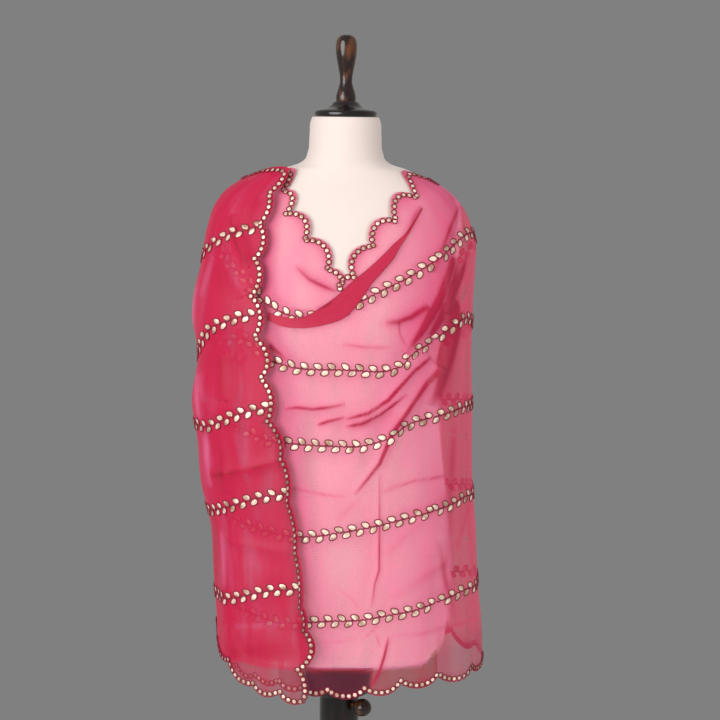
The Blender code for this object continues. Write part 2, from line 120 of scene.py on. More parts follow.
# The camera: level with the top of the neck and 2.6 m off, turned down 7.9 degrees and leaning a little,
# as the photo does.
lens = bpy.data.cameras.new("camera")
lens.sensor_width = 36.0
lens.lens = 87.5
camera = bpy.data.objects.new("camera", lens)
camera.location = (0.0255, -2.6, 1.457)
turned_down = np.radians(82.1)
lean = 0.0125
camera.rotation_mode = "QUATERNION"
camera.rotation_quaternion = (
    np.cos(turned_down / 2) * np.cos(lean / 2),
    np.sin(turned_down / 2) * np.cos(lean / 2),
    -np.sin(turned_down / 2) * np.sin(lean / 2),
    np.cos(turned_down / 2) * np.sin(lean / 2),
)
bpy.context.scene.collection.objects.link(camera)
bpy.context.scene.camera = camera

# The stand: a heavy round base, a straight pole and a turned collar under the form, of wood under black
# lacquer, with a small ball of polished wood on a shank, which clamps the pole. Each is turned on a lathe.


def cubic(key, value, slope, at):
    """Cubic curve through the values at the keys, with these slopes there."""
    low = np.clip(np.searchsorted(key, at) - 1, 0, len(key) - 2)
    step = key[low + 1] - key[low]
    f = (at - key[low]) / step
    start = value[low] * (1 + 2 * f) * (1 - f) ** 2 + step * slope[low] * f * (1 - f) ** 2
    end = value[low + 1] * f * f * (3 - 2 * f) + step * slope[low + 1] * f * f * (f - 1)
    return start + end


def smooth_table(rows, column, at):
    """Cubic curve through one column of a table whose first column rises, level with its ends beyond them."""
    rows = np.asarray(rows, float)
    key = rows[:, 0]
    value = rows[:, column]
    return cubic(key, value, np.gradient(value, key), np.clip(at, key[0], key[-1]))


def rounded(key, value, at):
    """Cubic curve that never swings past its values: each slope is the harmonic mean of its neighbours'."""
    rise = np.diff(value) / np.diff(key)
    steady = rise[1:] * rise[:-1] > 0
    both = np.where(steady, rise[1:] + rise[:-1], 1.0)
    inner = np.where(steady, 2 * rise[1:] * rise[:-1] / both, 0.0)
    return cubic(key, value, np.concatenate([rise[:1], inner, rise[-1:]]), at)


def piece(name, points, faces, finish, normals=None):
    """A mesh object at the origin, smooth, riding on the stand, with its material."""
    mesh = bpy.data.meshes.new(name)
    mesh.vertices.add(len(points))
    mesh.vertices.foreach_set("co", np.asarray(points, np.float32).ravel())
    faces = [np.asarray(face, np.int32) for face in faces]
    sides = np.concatenate([np.full(len(face), face.shape[1], np.int32) for face in faces])
    corners = np.concatenate([face.ravel() for face in faces])
    mesh.loops.add(len(corners))
    mesh.loops.foreach_set("vertex_index", corners)
    mesh.polygons.add(len(sides))
    mesh.polygons.foreach_set("loop_start", np.concatenate([[0], np.cumsum(sides)[:-1]]).astype(np.int32))
    mesh.polygons.foreach_set("use_smooth", np.ones(len(sides), bool))
    mesh.update(calc_edges=True)
    mesh.validate()
    if normals is not None:
        mesh.normals_split_custom_set_from_vertices(np.asarray(normals, np.float32).reshape(-1, 3))
    made = bpy.data.objects.new(name, mesh)
    made.data.materials.append(finish)
    bpy.context.scene.collection.objects.link(made)
    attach(made, "root")
    return made


def grid_quads(rows, columns, closed=False):
    """Corner numbers of the quads of a grid, row by row; closed joins the last column to the first."""
    index = np.arange(rows * columns).reshape(rows, columns)
    if closed:
        index = np.concatenate([index, index[:, :1]], axis=1)
    corners = [index[:-1, :-1], index[:-1, 1:], index[1:, 1:], index[1:, :-1]]
    return np.stack(corners, axis=-1).reshape(-1, 4)


def spun(profile, per_span, steps):
    """Profile of radius and height turned about the axis, x = r cos a, y = r sin a, with rounded corners."""
    profile = np.array(profile)
    key = np.concatenate([[0.0], np.cumsum(np.linalg.norm(np.diff(profile, axis=0), axis=1))])
    at = np.interp(np.arange((len(key) - 1) * per_span + 1) / per_span, np.arange(len(key)), key)
    radius = np.maximum(rounded(key, profile[:, 0], at), 0.0)
    height = rounded(key, profile[:, 1], at)
    angle = np.linspace(0.0, 2 * np.pi, steps, endpoint=False)
    x = radius[:, None] * np.cos(angle)
    y = radius[:, None] * np.sin(angle)
    return np.stack([x, y, height[:, None] + 0.0 * x], axis=-1)


def closed_spin(profile, per_span, steps):
    """Points and faces of a turned solid whose profile runs upwards from axis to axis."""
    ring = spun(profile, per_span, steps)[1:-1]
    rows = len(ring)
    low = rows * steps
    tips = [[0.0, 0.0, profile[0][1]], [0.0, 0.0, profile[-1][1]]]
    points = np.concatenate([ring.reshape(-1, 3), tips])
    around = np.arange(steps)
    after = np.roll(around, -1)
    last = (rows - 1) * steps
    bottom = np.stack([np.full(steps, low), after, around], axis=-1)
    top = np.stack([np.full(steps, low + 1), around + last, after + last], axis=-1)
    return points, [grid_quads(rows, steps, closed=True), bottom, top]


def node_group(name, takes, gives):
    """An empty node group with these (name, type) sockets: its tree, what it is given, and its way out."""
    group = bpy.data.node_groups.new(name, "ShaderNodeTree")
    for way, sockets in (("INPUT", takes), ("OUTPUT", gives)):
        for socket, kind in sockets:
            group.interface.new_socket(socket, in_out=way, socket_type="NodeSocket" + kind)
    return group, group.nodes.new("NodeGroupInput").outputs, group.nodes.new("NodeGroupOutput")


def scaled_place(tree, place, scale, shift=(0.0, 0.0, 0.0)):
    return add(tree, "Mapping", {"Vector": place, "Scale": scale, "Location": shift}).outputs["Vector"]


def noise(tree, place, scale=1.0, detail=2.0):
    return add(tree, "TexNoise", {"Vector": place, "Scale": scale, "Detail": detail}).outputs["Fac"]


def spread(tree, value, low, high, to_low=0.0, to_high=1.0):
    """A value between low and high spread out between two others."""
    ends = {"Value": value, "From Min": low, "From Max": high, "To Min": to_low, "To Max": to_high}
    return add(tree, "MapRange", ends).outputs["Result"]


def arithmetic(tree, operation, *values, clamp=False):
    sums = dict(enumerate(values))
    return add(tree, "Math", sums, operation=operation, use_clamp=clamp).outputs["Value"]


def colour_mix(tree, share, first, second):
    return add(tree, "Mix", {"Factor": share, 6: first, 7: second}, data_type="RGBA").outputs[2]


def bump(tree, height, strength, distance):
    relief = {"Height": height, "Strength": strength, "Distance": distance}
    return add(tree, "Bump", relief).outputs["Normal"]


def wood_grain_group():
    """Long streaks and blotches: noise stretched along the pole, as a colour between three and a height."""
    takes = (("Dark", "Color"), ("Brown", "Color"), ("Warm", "Color"), ("Blotch", "Float"))
    gives = (("Colour", "Color"), ("Roughness", "Float"), ("Height", "Float"))
    group, given, out = node_group("wood grain", takes, gives)
    place = add(group, "TexCoord").outputs["Object"]
    streak = noise(group, scaled_place(group, place, (150.0, 150.0, 18.0)), detail=5.0)
    blotch = noise(group, scaled_place(group, place, (55.0, 55.0, 24.0), (3.1, 7.3, 0.4)))
    streaked = colour_mix(group, streak, given["Dark"], given["Brown"])
    warmed = arithmetic(group, "MULTIPLY", spread(group, blotch, 0.52, 0.70), given["Blotch"])
    feed(group, out, {
        "Colour": colour_mix(group, warmed, streaked, given["Warm"]),
        "Roughness": spread(group, streak, 0.0, 1.0, 0.12, 0.30),
        "Height": streak,
    })
    return group


def polished_wood(name, dark, brown, warm, blotch, coat):
    """Wood grain under a clear coat, which carries the glint."""
    made, tree, shader = material(name)
    colours = {"Dark": dark, "Brown": brown, "Warm": warm, "Blotch": blotch}
    grain = add(tree, "Group", node_tree=wood_grain)
    feed(tree, grain, colours)
    feed(tree, shader, {
        "Base Color": grain.outputs["Colour"],
        "Roughness": grain.outputs["Roughness"],
        "Normal": bump(tree, grain.outputs["Height"], 0.03, 0.0004),
        "Coat Weight": coat,
        "Coat Roughness": 0.12,
        "Specular IOR Level": 0.3,
    })
    return made


wood_grain = wood_grain_group()
black = ((0.004, 0.003, 0.003), (0.010, 0.007, 0.006), (0.03, 0.018, 0.012))
browns = ((0.006, 0.003, 0.003), (0.022, 0.009, 0.006), (0.16, 0.050, 0.014))
lacquer = polished_wood("black lacquered wood", *black, blotch=0.4, coat=0.25)
dark_wood = polished_wood("dark polished wood", *browns, blotch=0.8, coat=0.35)

base_profile = (
    (0.0, 0.0), (0.1690, 0.0), (0.1742, 0.0030), (0.1750, 0.0090), (0.1738, 0.0150),
    (0.1690, 0.0190), (0.1400, 0.0215), (0.1000, 0.0270), (0.0660, 0.0370), (0.0490, 0.0480),
    (0.0440, 0.0560), (0.0420, 0.0612), (0.0395, 0.0617), (0.0, 0.0617),
)
points, faces = closed_spin(base_profile, 3, 96)
base = piece("turned_base", points, faces, lacquer)
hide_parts("stand_base")

pole_profile = (
    (0.0, 0.0620), (0.0302, 0.0620), (0.0305, 0.0625), (0.0305, 0.2500), (0.0305, 0.4500),
    (0.0305, 0.6485), (0.0302, 0.6497), (0.0, 0.6497),
)
points, faces = closed_spin(pole_profile, 1, 64)
pole = piece("pole", points, faces, lacquer)
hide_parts("stand_pole")

collar_profile = (
    (0.0308, 0.5850), (0.0480, 0.5850), (0.0500, 0.5870), (0.0530, 0.6080), (0.0560, 0.6300),
    (0.0575, 0.6380), (0.0580, 0.6470), (0.0568, 0.6497), (0.0308, 0.6497),
)
ring = spun(collar_profile, 3, 72)
faces = [grid_quads(len(ring), 72, closed=True)]
collar = piece("turned_collar", ring.reshape(-1, 3), faces, lacquer)
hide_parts("stand_collar")


def knob_points(turn, start, reach, radius, height, shank):
    """Ball and shank turned about a level axis that leaves the pole at this turn."""
    ball = reach - start
    angle = np.linspace(2.75, 0.0, 16)
    profile = [(0.0, 0.0), (shank, 0.0), (shank, 0.004)]
    profile += [(radius * np.sin(a), ball + radius * np.cos(a)) for a in angle[:-1]]
    profile.append((0.0, ball + radius))
    points, faces = closed_spin(profile, 2, 40)
    along = np.array([np.cos(turn), np.sin(turn), 0.0])
    side = np.array([-np.sin(turn), np.cos(turn), 0.0])
    up = np.array([0.0, 0.0, 1.0])
    placed = points[:, :1] * side + points[:, 1:2] * up + (points[:, 2:] + start) * along
    return placed + np.array([0.0, 0.0, height]), faces


points, faces = knob_points(np.radians(-46.0), 0.0308, 0.0520, 0.0138, 0.568, 0.0048)
knob = piece("clamp_knob_ball", points, faces, dark_wood)
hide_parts("clamp_knob")

# The dress form: torso, shoulders and neck of pressed foam under a fine cream jersey, one smooth body
# without limbs, flat under the hips where the stand holds it.


def form_rings(rows, steps):
    """Level rings x = a |cos|^(2/n), y = b |sin|^(2/n): half width a, front and back depth b, roundness n."""
    table = np.array([
        (0.650, 0.1400, 0.0985, 0.0985, 2.8),
        (0.654, 0.1490, 0.1035, 0.1030, 2.8),
        (0.665, 0.1570, 0.1065, 0.1062, 2.7),
        (0.690, 0.1610, 0.1080, 0.1080, 2.5),
        (0.750, 0.1650, 0.1110, 0.1110, 2.4),
        (0.810, 0.1645, 0.1120, 0.1120, 2.4),
        (0.890, 0.1580, 0.1100, 0.1060, 2.4),
        (0.970, 0.1480, 0.1040, 0.0920, 2.3),
        (1.040, 0.1425, 0.1000, 0.0820, 2.3),
        (1.100, 0.1425, 0.1080, 0.0840, 2.3),
        (1.160, 0.1480, 0.1220, 0.0900, 2.3),
        (1.210, 0.1580, 0.1220, 0.0950, 2.3),
        (1.260, 0.1700, 0.1070, 0.0930, 2.2),
        (1.300, 0.1740, 0.0890, 0.0860, 2.1),
        (1.3295, 0.1680, 0.0770, 0.0770, 2.0),
        (1.3505, 0.1490, 0.0670, 0.0670, 2.0),
        (1.3645, 0.1245, 0.0600, 0.0600, 2.0),
        (1.3750, 0.1035, 0.0560, 0.0565, 2.0),
        (1.3825, 0.0865, 0.0540, 0.0545, 2.0),
        (1.3865, 0.0730, 0.0535, 0.0540, 2.0),
        (1.3925, 0.0620, 0.0533, 0.0535, 2.0),
        (1.4050, 0.0555, 0.0530, 0.0530, 2.0),
        (1.4300, 0.0530, 0.0518, 0.0518, 2.0),
        (1.4540, 0.0503, 0.0503, 0.0503, 2.0),
        (1.4570, 0.0488, 0.0488, 0.0488, 2.0),
    ])
    count = np.arange(len(table))
    height = np.interp(np.linspace(0, count[-1], rows), count, table[:, 0])[:, None]
    angle = np.linspace(0.0, 2 * np.pi, steps, endpoint=False)[None]
    power = 2.0 / smooth_table(table, 4, height)
    cosine = np.cos(angle)
    sine = np.sin(angle)
    across = smooth_table(table, 1, height)
    deep = np.where(sine < 0, smooth_table(table, 2, height), smooth_table(table, 3, height))
    x = across * np.sign(cosine) * np.abs(cosine) ** power
    y = deep * np.sign(sine) * np.abs(sine) ** power
    return np.stack([x, y, height + 0.0 * x], axis=-1)


def jersey_finish():
    """Soft clouds of two near creams, with the knit's fine level bands as bump."""
    made, tree, shader = material("cream jersey")
    place = add(tree, "TexCoord").outputs["Object"]
    bands = {"Vector": place, "Scale": 320.0, "Distortion": 2.0, "Detail": 2.0}
    knit = add(tree, "TexWave", bands, wave_type="BANDS", bands_direction="Z")
    cream = colour_mix(tree, noise(tree, place, 14.0, 3.0), (0.650, 0.552, 0.508), (0.675, 0.582, 0.534))
    feed(tree, shader, {
        "Base Color": cream,
        "Roughness": 0.85,
        "Sheen Weight": 0.25,
        "Sheen Roughness": 0.5,
        "Normal": bump(tree, knit.outputs["Fac"], 0.25, 0.0003),
    })
    return made


rings = form_rings(145, 144)
steps = rings.shape[1]
lowest = np.arange(steps)[::-1][None]
highest = (np.arange(steps) + (len(rings) - 1) * steps)[None]
torso = piece(
    "dress_form",
    rings.reshape(-1, 3),
    [grid_quads(len(rings), steps, closed=True), lowest, highest],
    jersey_finish(),
)
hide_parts("dress_form_torso")

# The neck cap and finial: a flat turned plate of black lacquered wood on the neck, its top swept up in a
# hollow curve, and a bottle-shaped grip of dark polished wood with brown streaks, screwed down onto it.

cap_profile = (
    (0.0, 1.4573), (0.0440, 1.4573), (0.0459, 1.4585), (0.0465, 1.4610), (0.0463, 1.4636),
    (0.0446, 1.4660), (0.0385, 1.4682), (0.0290, 1.4705), (0.0225, 1.4742), (0.0188, 1.4780),
    (0.0170, 1.4793), (0.0, 1.4793),
)
points, faces = closed_spin(cap_profile, 4, 96)
cap = piece("neck_cap_plate", points, faces, lacquer)
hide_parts("neck_cap")

finial_profile = (
    (0.0, 1.4796), (0.0140, 1.4796), (0.0147, 1.4806), (0.0150, 1.4850), (0.0136, 1.4925),
    (0.0108, 1.5010), (0.0092, 1.5085), (0.0096, 1.5160), (0.0112, 1.5250), (0.0136, 1.5370),
    (0.0155, 1.5480), (0.0161, 1.5580), (0.0150, 1.5670), (0.0112, 1.5735), (0.0058, 1.5762),
    (0.0, 1.5770),
)
points, faces = closed_spin(finial_profile, 5, 64)
grip = piece("finial_grip", points, faces, dark_wood)
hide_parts("finial")

# The dupatta: one length of sheer crimson organza, about 0.9 m wide, wound once and a third about the form.
# A turn in degrees counts along the cloth: 180 the viewer's left flank, 270 the back, 360 the right flank,
# 450 the front's middle. All stretches are thin sheets on the same rings, so they meet without a step.

# height, reach to the right, to the left and to the left under the lap, front, back and roundness
hull = np.array([
    (0.600, 0.2200, 0.1800, 0.1700, 0.1440, 0.1350, 2.4),
    (0.686, 0.2170, 0.1840, 0.1740, 0.1420, 0.1340, 2.4),
    (0.760, 0.2100, 0.1870, 0.1780, 0.1400, 0.1320, 2.4),
    (0.850, 0.2030, 0.1920, 0.1820, 0.1380, 0.1290, 2.4),
    (0.913, 0.1970, 0.2070, 0.1930, 0.1365, 0.1230, 2.4),
    (0.980, 0.1946, 0.2130, 0.1980, 0.1350, 0.1180, 2.4),
    (1.036, 0.1940, 0.2220, 0.2030, 0.1340, 0.1130, 2.4),
    (1.108, 0.1920, 0.2130, 0.1990, 0.1325, 0.1090, 2.4),
    (1.165, 0.1928, 0.2215, 0.2020, 0.1320, 0.1070, 2.4),
    (1.200, 0.1935, 0.2180, 0.2000, 0.1290, 0.1050, 2.4),
    (1.240, 0.1950, 0.2080, 0.1960, 0.1190, 0.1020, 2.4),
    (1.276, 0.1950, 0.2030, 0.1930, 0.1050, 0.0970, 2.3),
    (1.303, 0.1870, 0.1970, 0.1860, 0.0940, 0.0910, 2.2),
    (1.331, 0.1720, 0.1860, 0.1715, 0.0820, 0.0830, 2.1),
    (1.352, 0.1510, 0.1680, 0.1515, 0.0710, 0.0730, 2.0),
    (1.366, 0.1270, 0.1460, 0.1290, 0.0630, 0.0645, 2.0),
    (1.376, 0.1065, 0.1280, 0.1110, 0.0590, 0.0605, 2.0),
    (1.386, 0.0890, 0.1080, 0.0930, 0.0565, 0.0575, 2.0),
    (1.400, 0.0700, 0.0760, 0.0720, 0.0550, 0.0560, 2.0),
])
# turn and how far out the cloth lies there
lift_of_turn = np.array([
    (95.0, 0.0115),
    (125.0, 0.0105),
    (150.0, 0.0080),
    (175.0, 0.0040),
    (200.0, 0.0040),
    (250.0, 0.0040),
    (300.0, 0.0),
    (540.0, 0.0),
    (570.0, -0.0025),
    (605.0, -0.0030),
])

# push outwards, its breadth, darkening (doubled cloth along the line and painted shade beside it; below 0
# paler), its breadth, then x and z along the crease
front_creases = (
    (0.006, 0.011, 0.45, 0.0028, ((0.165, 1.331), (0.152, 1.307), (0.136, 1.268), (0.128, 1.24))),
    (0.0075, 0.012, 0.8, 0.005, ((0.155, 1.26), (0.146, 1.234), (0.136, 1.207), (0.109, 1.154),
     (0.089, 1.124))),
    (0.006, 0.013, 0.85, 0.008, ((0.162, 1.197), (0.162, 1.155), (0.15, 1.115), (0.136, 1.07),
     (0.128, 1.047))),
    (0.005, 0.011, 1.35, 0.0024, ((0.126, 1.117), (0.101, 1.098), (0.064, 1.057), (0.038, 1.039),
     (0.005, 1.029))),
    (0.0065, 0.011, 1.45, 0.0027, ((0.14, 1.103), (0.119, 1.08), (0.084, 1.028), (0.07, 1.008),
     (0.054, 0.966), (0.02, 0.92))),
    (0.003, 0.008, 1.1, 0.0022, ((0.092, 1.065), (0.053, 1.036), (0.03, 1.024), (0.005, 1.018))),
    (0.004, 0.01, 0.8, 0.0036, ((0.157, 1.224), (0.146, 1.192), (0.134, 1.166), (0.124, 1.149))),
    (0.0, 0.006, 0.5, 0.0026, ((0.112, 1.332), (0.101, 1.316), (0.09, 1.293))),
    (0.0025, 0.008, 0.8, 0.003, ((-0.068, 1.246), (-0.048, 1.228), (-0.026, 1.218), (-0.01, 1.212))),
    (0.0, 0.005, 0.4, 0.0022, ((-0.082, 1.187), (-0.065, 1.185), (-0.043, 1.184))),
    (0.0, 0.005, 0.5, 0.0022, ((-0.039, 1.186), (-0.026, 1.191), (-0.013, 1.197))),
    (0.0, 0.005, 0.25, 0.0022, ((-0.1, 1.207), (-0.088, 1.199), (-0.076, 1.191))),
    (0.003, 0.008, 0.85, 0.0045, ((0.119, 1.192), (0.096, 1.176), (0.076, 1.169), (0.059, 1.168))),
    (0.0, 0.005, 0.6, 0.0016, ((0.079, 1.17), (0.082, 1.15), (0.089, 1.134))),
    (0.0, 0.005, 0.6, 0.0018, ((0.0, 1.137), (0.031, 1.133), (0.071, 1.132))),
    (0.003, 0.008, 1.05, 0.0026, ((-0.081, 1.042), (-0.064, 1.045), (-0.041, 1.043), (-0.018, 1.046),
     (0.005, 1.051))),
    (0.002, 0.006, 1.05, 0.0026, ((-0.035, 1.02), (-0.018, 1.026), (0.005, 1.032))),
    (0.0, 0.005, 0.8, 0.003, ((-0.105, 1.133), (-0.09, 1.122), (-0.078, 1.111))),
    (0.0, 0.005, 0.6, 0.0017, ((-0.071, 0.927), (-0.051, 0.924), (-0.023, 0.919), (0.007, 0.916))),
    (0.0, 0.005, 0.6, 0.0018, ((0.059, 0.922), (0.079, 0.93), (0.108, 0.938), (0.153, 0.941))),
    (0.002, 0.005, 0.85, 0.0016, ((0.055, 0.95), (0.056, 0.883), (0.057, 0.809), (0.051, 0.788),
     (0.047, 0.753))),
    (0.0015, 0.01, 0.25, 0.006, ((0.121, 0.88), (0.086, 0.852), (0.064, 0.83))),
    (0.0015, 0.01, 0.25, 0.006, ((0.161, 0.816), (0.124, 0.798), (0.073, 0.764))),
    (0.0015, 0.01, 0.2, 0.008, ((0.154, 0.905), (0.115, 0.895), (0.079, 0.894))),
    (0.0, 0.005, 0.35, 0.006, ((0.028, 0.915), (0.011, 0.897), (-0.007, 0.879))),
    (0.0, 0.005, 0.35, 0.0015, ((-0.037, 0.699), (0.009, 0.704), (0.026, 0.706))),
    (0.0, 0.005, 0.35, 0.0017, ((0.075, 0.712), (0.125, 0.712), (0.164, 0.716), (0.204, 0.718))),
    (0.0, 0.005, 0.6, 0.0014, ((0.035, 0.707), (0.048, 0.719), (0.059, 0.728))),
    (0.0, 0.005, 0.5, 0.0014, ((0.052, 0.717), (0.057, 0.705), (0.059, 0.695))),
    (0.002, 0.006, 1.1, 0.0022, ((0.072, 0.71), (0.065, 0.681), (0.059, 0.661), (0.046, 0.634))),
    (0.0, 0.005, -0.4, 0.0035, ((0.164, 1.226), (0.152, 1.198), (0.141, 1.173))),
    (0.0, 0.005, -0.35, 0.003, ((0.18, 1.221), (0.173, 1.196), (0.162, 1.171))),
    (0.003, 0.008, 0.95, 0.0036, ((0.178, 1.266), (0.169, 1.232), (0.154, 1.205), (0.147, 1.179))),
    (0.0, 0.005, 0.85, 0.0036, ((0.163, 1.19), (0.155, 1.161), (0.143, 1.128), (0.135, 1.103))),
    (0.0, 0.005, 0.4, 0.003, ((0.192, 0.892), (0.182, 0.862), (0.173, 0.828))),
    (0.0, 0.005, -0.35, 0.001, ((0.146, 1.003), (0.167, 0.999), (0.188, 0.991))),
    (0.0, 0.005, -0.35, 0.001, ((0.161, 0.848), (0.177, 0.845), (0.196, 0.836))),
    (0.0, 0.005, 0.28, 0.007, ((0.172, 1.251), (0.157, 1.212), (0.14, 1.173), (0.117, 1.139))),
    (0.0, 0.005, 0.25, 0.006, ((0.133, 1.199), (0.117, 1.168), (0.094, 1.136))),
    (0.0, 0.005, 0.35, 0.006, ((0.165, 1.014), (0.162, 0.963), (0.16, 0.904), (0.16, 0.816))),
    (0.0, 0.005, 0.3, 0.007, ((0.077, 1.039), (0.044, 1.022), (0.012, 1.017))),
    (0.0, 0.005, 0.4, 0.005, ((0.142, 0.848), (0.152, 0.795), (0.165, 0.756), (0.174, 0.712))),
    (0.0, 0.005, 0.35, 0.0016, ((0.001, 0.78), (0.019, 0.765), (0.033, 0.747))),
)
outer_creases = (
    (0.004, 0.01, 0.75, 0.0034, ((-0.164, 1.314), (-0.159, 1.295), (-0.152, 1.278), (-0.132, 1.243))),
    (0.003, 0.009, 0.25, 0.004, ((-0.145, 1.287), (-0.138, 1.253), (-0.133, 1.211))),
    (0.004, 0.012, -0.2, 0.006, ((-0.167, 1.258), (-0.154, 1.231), (-0.138, 1.203))),
    (0.0, 0.005, -0.35, 0.005, ((-0.188, 1.255), (-0.2, 1.227), (-0.208, 1.195))),
    (0.0, 0.005, -0.2, 0.004, ((-0.172, 1.205), (-0.161, 1.191), (-0.151, 1.178))),
    (0.004, 0.012, 0.32, 0.01, ((-0.172, 1.118), (-0.172, 1.082), (-0.173, 1.049))),
    (0.0, 0.005, -0.35, 0.005, ((-0.207, 1.093), (-0.208, 1.073), (-0.201, 1.042))),
    (0.0, 0.005, -0.3, 0.0045, ((-0.199, 0.992), (-0.196, 0.971), (-0.191, 0.943))),
    (0.0, 0.005, -0.25, 0.0028, ((-0.172, 1.002), (-0.178, 0.975), (-0.184, 0.952))),
    (0.003, 0.01, 0.7, 0.003, ((-0.194, 0.933), (-0.154, 0.946), (-0.109, 0.961), (-0.089, 0.966))),
    (0.0, 0.005, -0.35, 0.0035, ((-0.178, 0.852), (-0.173, 0.808), (-0.168, 0.764))),
    (0.002, 0.008, 0.15, 0.006, ((-0.17, 0.839), (-0.131, 0.84), (-0.072, 0.835))),
    (0.0, 0.005, 0.3, 0.014, ((-0.168, 0.671), (-0.13, 0.68), (-0.086, 0.689), (-0.062, 0.697))),
    (0.0, 0.005, -0.25, 0.0034, ((-0.171, 0.71), (-0.138, 0.717), (-0.099, 0.726), (-0.067, 0.735))),
    (0.0, 0.005, 0.4, 0.0022, ((-0.057, 0.751), (-0.055, 0.714), (-0.054, 0.677))),
    (0.0, 0.005, 0.32, 0.0095, ((-0.174, 1.125), (-0.167, 1.091), (-0.164, 1.054))),
    (0.0, 0.005, -0.22, 0.004, ((-0.148, 1.121), (-0.146, 1.087), (-0.142, 1.053))),
    (0.003, 0.009, 0.45, 0.0075, ((-0.178, 1.005), (-0.17, 0.961), (-0.167, 0.914))),
    (0.0, 0.005, -0.25, 0.006, ((-0.152, 1.008), (-0.145, 0.972), (-0.135, 0.933))),
    (0.0, 0.005, -0.75, 0.0045, ((-0.22, 1.214), (-0.223, 1.177), (-0.223, 1.136))),
    (0.0, 0.005, -0.75, 0.0045, ((-0.216, 1.082), (-0.213, 1.046), (-0.208, 1.014))),
    (0.0, 0.005, -0.65, 0.0042, ((-0.2, 1.001), (-0.199, 0.961), (-0.193, 0.914))),
    (0.0, 0.005, 0.45, 0.004, ((-0.189, 0.87), (-0.187, 0.819), (-0.19, 0.742))),
    (0.0, 0.005, -0.3, 0.004, ((-0.174, 0.878), (-0.171, 0.823), (-0.168, 0.769))),
    (0.0, 0.005, 0.35, 0.008, ((-0.186, 1.252), (-0.174, 1.216), (-0.159, 1.179))),
    (0.0, 0.005, 0.55, 0.0022, ((-0.125, 1.342), (-0.133, 1.317), (-0.139, 1.291))),
    (0.0, 0.005, 0.18, 0.007, ((-0.175, 0.659), (-0.138, 0.681), (-0.085, 0.695))),
    (0.0, 0.005, -0.16, 0.011, ((-0.154, 0.835), (-0.113, 0.837), (-0.075, 0.835))),
    (0.0, 0.005, -0.14, 0.011, ((-0.146, 0.814), (-0.108, 0.811), (-0.071, 0.806))),
)

back_creases = (
    (0.005, 0.011, 0.6, 0.004, ((-0.15, 1.268), (-0.112, 1.226), (-0.068, 1.196), (-0.02, 1.182))),
    (0.0045, 0.011, 0.5, 0.0045, ((-0.16, 1.205), (-0.118, 1.15), (-0.07, 1.118), (-0.028, 1.106))),
    (0.0055, 0.012, 0.65, 0.0045, ((0.152, 1.272), (0.118, 1.222), (0.075, 1.178), (0.03, 1.15))),
    (0.005, 0.012, 0.6, 0.004, ((0.166, 1.19), (0.14, 1.13), (0.098, 1.068), (0.052, 1.03))),
    (0.004, 0.011, 0.45, 0.005, ((0.158, 1.06), (0.132, 0.992), (0.104, 0.93), (0.086, 0.872))),
    (0.0035, 0.01, 0.45, 0.004, ((-0.128, 1.062), (-0.1, 1.01), (-0.084, 0.95), (-0.078, 0.89))),
    (0.003, 0.009, 0.5, 0.003, ((-0.022, 1.08), (-0.012, 1.02), (-0.01, 0.95))),
    (0.0025, 0.008, 0.55, 0.0024, ((0.012, 0.86), (0.016, 0.8), (0.01, 0.735), (0.016, 0.685))),
    (0.003, 0.009, 0.4, 0.004, ((-0.112, 0.84), (-0.106, 0.78), (-0.112, 0.715))),
    (0.003, 0.009, 0.4, 0.004, ((0.118, 0.85), (0.126, 0.785), (0.134, 0.712))),
    (0.0, 0.005, 0.45, 0.0018, ((-0.14, 0.93), (-0.085, 0.926), (-0.03, 0.921), (0.02, 0.922))),
    (0.0, 0.005, 0.4, 0.0018, ((0.052, 0.924), (0.1, 0.93), (0.15, 0.936))),
    (0.0, 0.005, 0.35, 0.0017, ((-0.09, 0.708), (-0.03, 0.704), (0.04, 0.706))),
    (0.0, 0.005, -0.35, 0.0035, ((-0.07, 1.25), (-0.02, 1.232), (0.034, 1.236))),
    (0.0, 0.005, -0.3, 0.005, ((0.128, 1.252), (0.1, 1.205), (0.062, 1.168))),
    (0.0, 0.005, -0.3, 0.0045, ((-0.146, 1.172), (-0.106, 1.128), (-0.058, 1.098))),
)

# height and the turn at which the front goes under the outer end, where a painted shadow of that end's edge
# lies on the front
beside_end = np.array([
    (0.60, 461.0),
    (0.76, 463.5),
    (0.91, 467.0),
    (1.03, 473.0),
    (1.15, 478.0),
    (1.26, 481.5),
    (1.38, 488.0),
])

# height and half width of the form, beside which the cloth hangs clear
form_flank = (
    (0.65, 0.156), (0.76, 0.161), (0.82, 0.161), (0.90, 0.154), (0.98, 0.144), (1.06, 0.139),
    (1.12, 0.139), (1.18, 0.146), (1.23, 0.157), (1.28, 0.166), (1.33, 0.168), (1.40, 0.168),
)


def ring_point(turn, height, lift):
    """Point of the ring at this height and turn: x = a |cos|^(2/n), y = -b |sin|^(2/n), both signed."""
    angle = np.radians(turn)
    cosine = np.cos(angle)
    sine = np.sin(angle)
    power = 2.0 / smooth_table(hull, 6, height)
    left = np.where(turn < 450.0, smooth_table(hull, 2, height), smooth_table(hull, 3, height))
    across = np.where(cosine > 0, smooth_table(hull, 1, height), left) + lift
    deep = np.where(sine > 0, smooth_table(hull, 4, height), smooth_table(hull, 5, height)) + lift
    x = across * np.sign(cosine) * np.abs(cosine) ** power
    y = -deep * np.sign(sine) * np.abs(sine) ** power
    return x, y


def ramp(value, start, end):
    """0 at the start, 1 at the end, in a straight line between them and level beyond."""
    return np.clip((value - start) / (end - start), 0.0, 1.0)


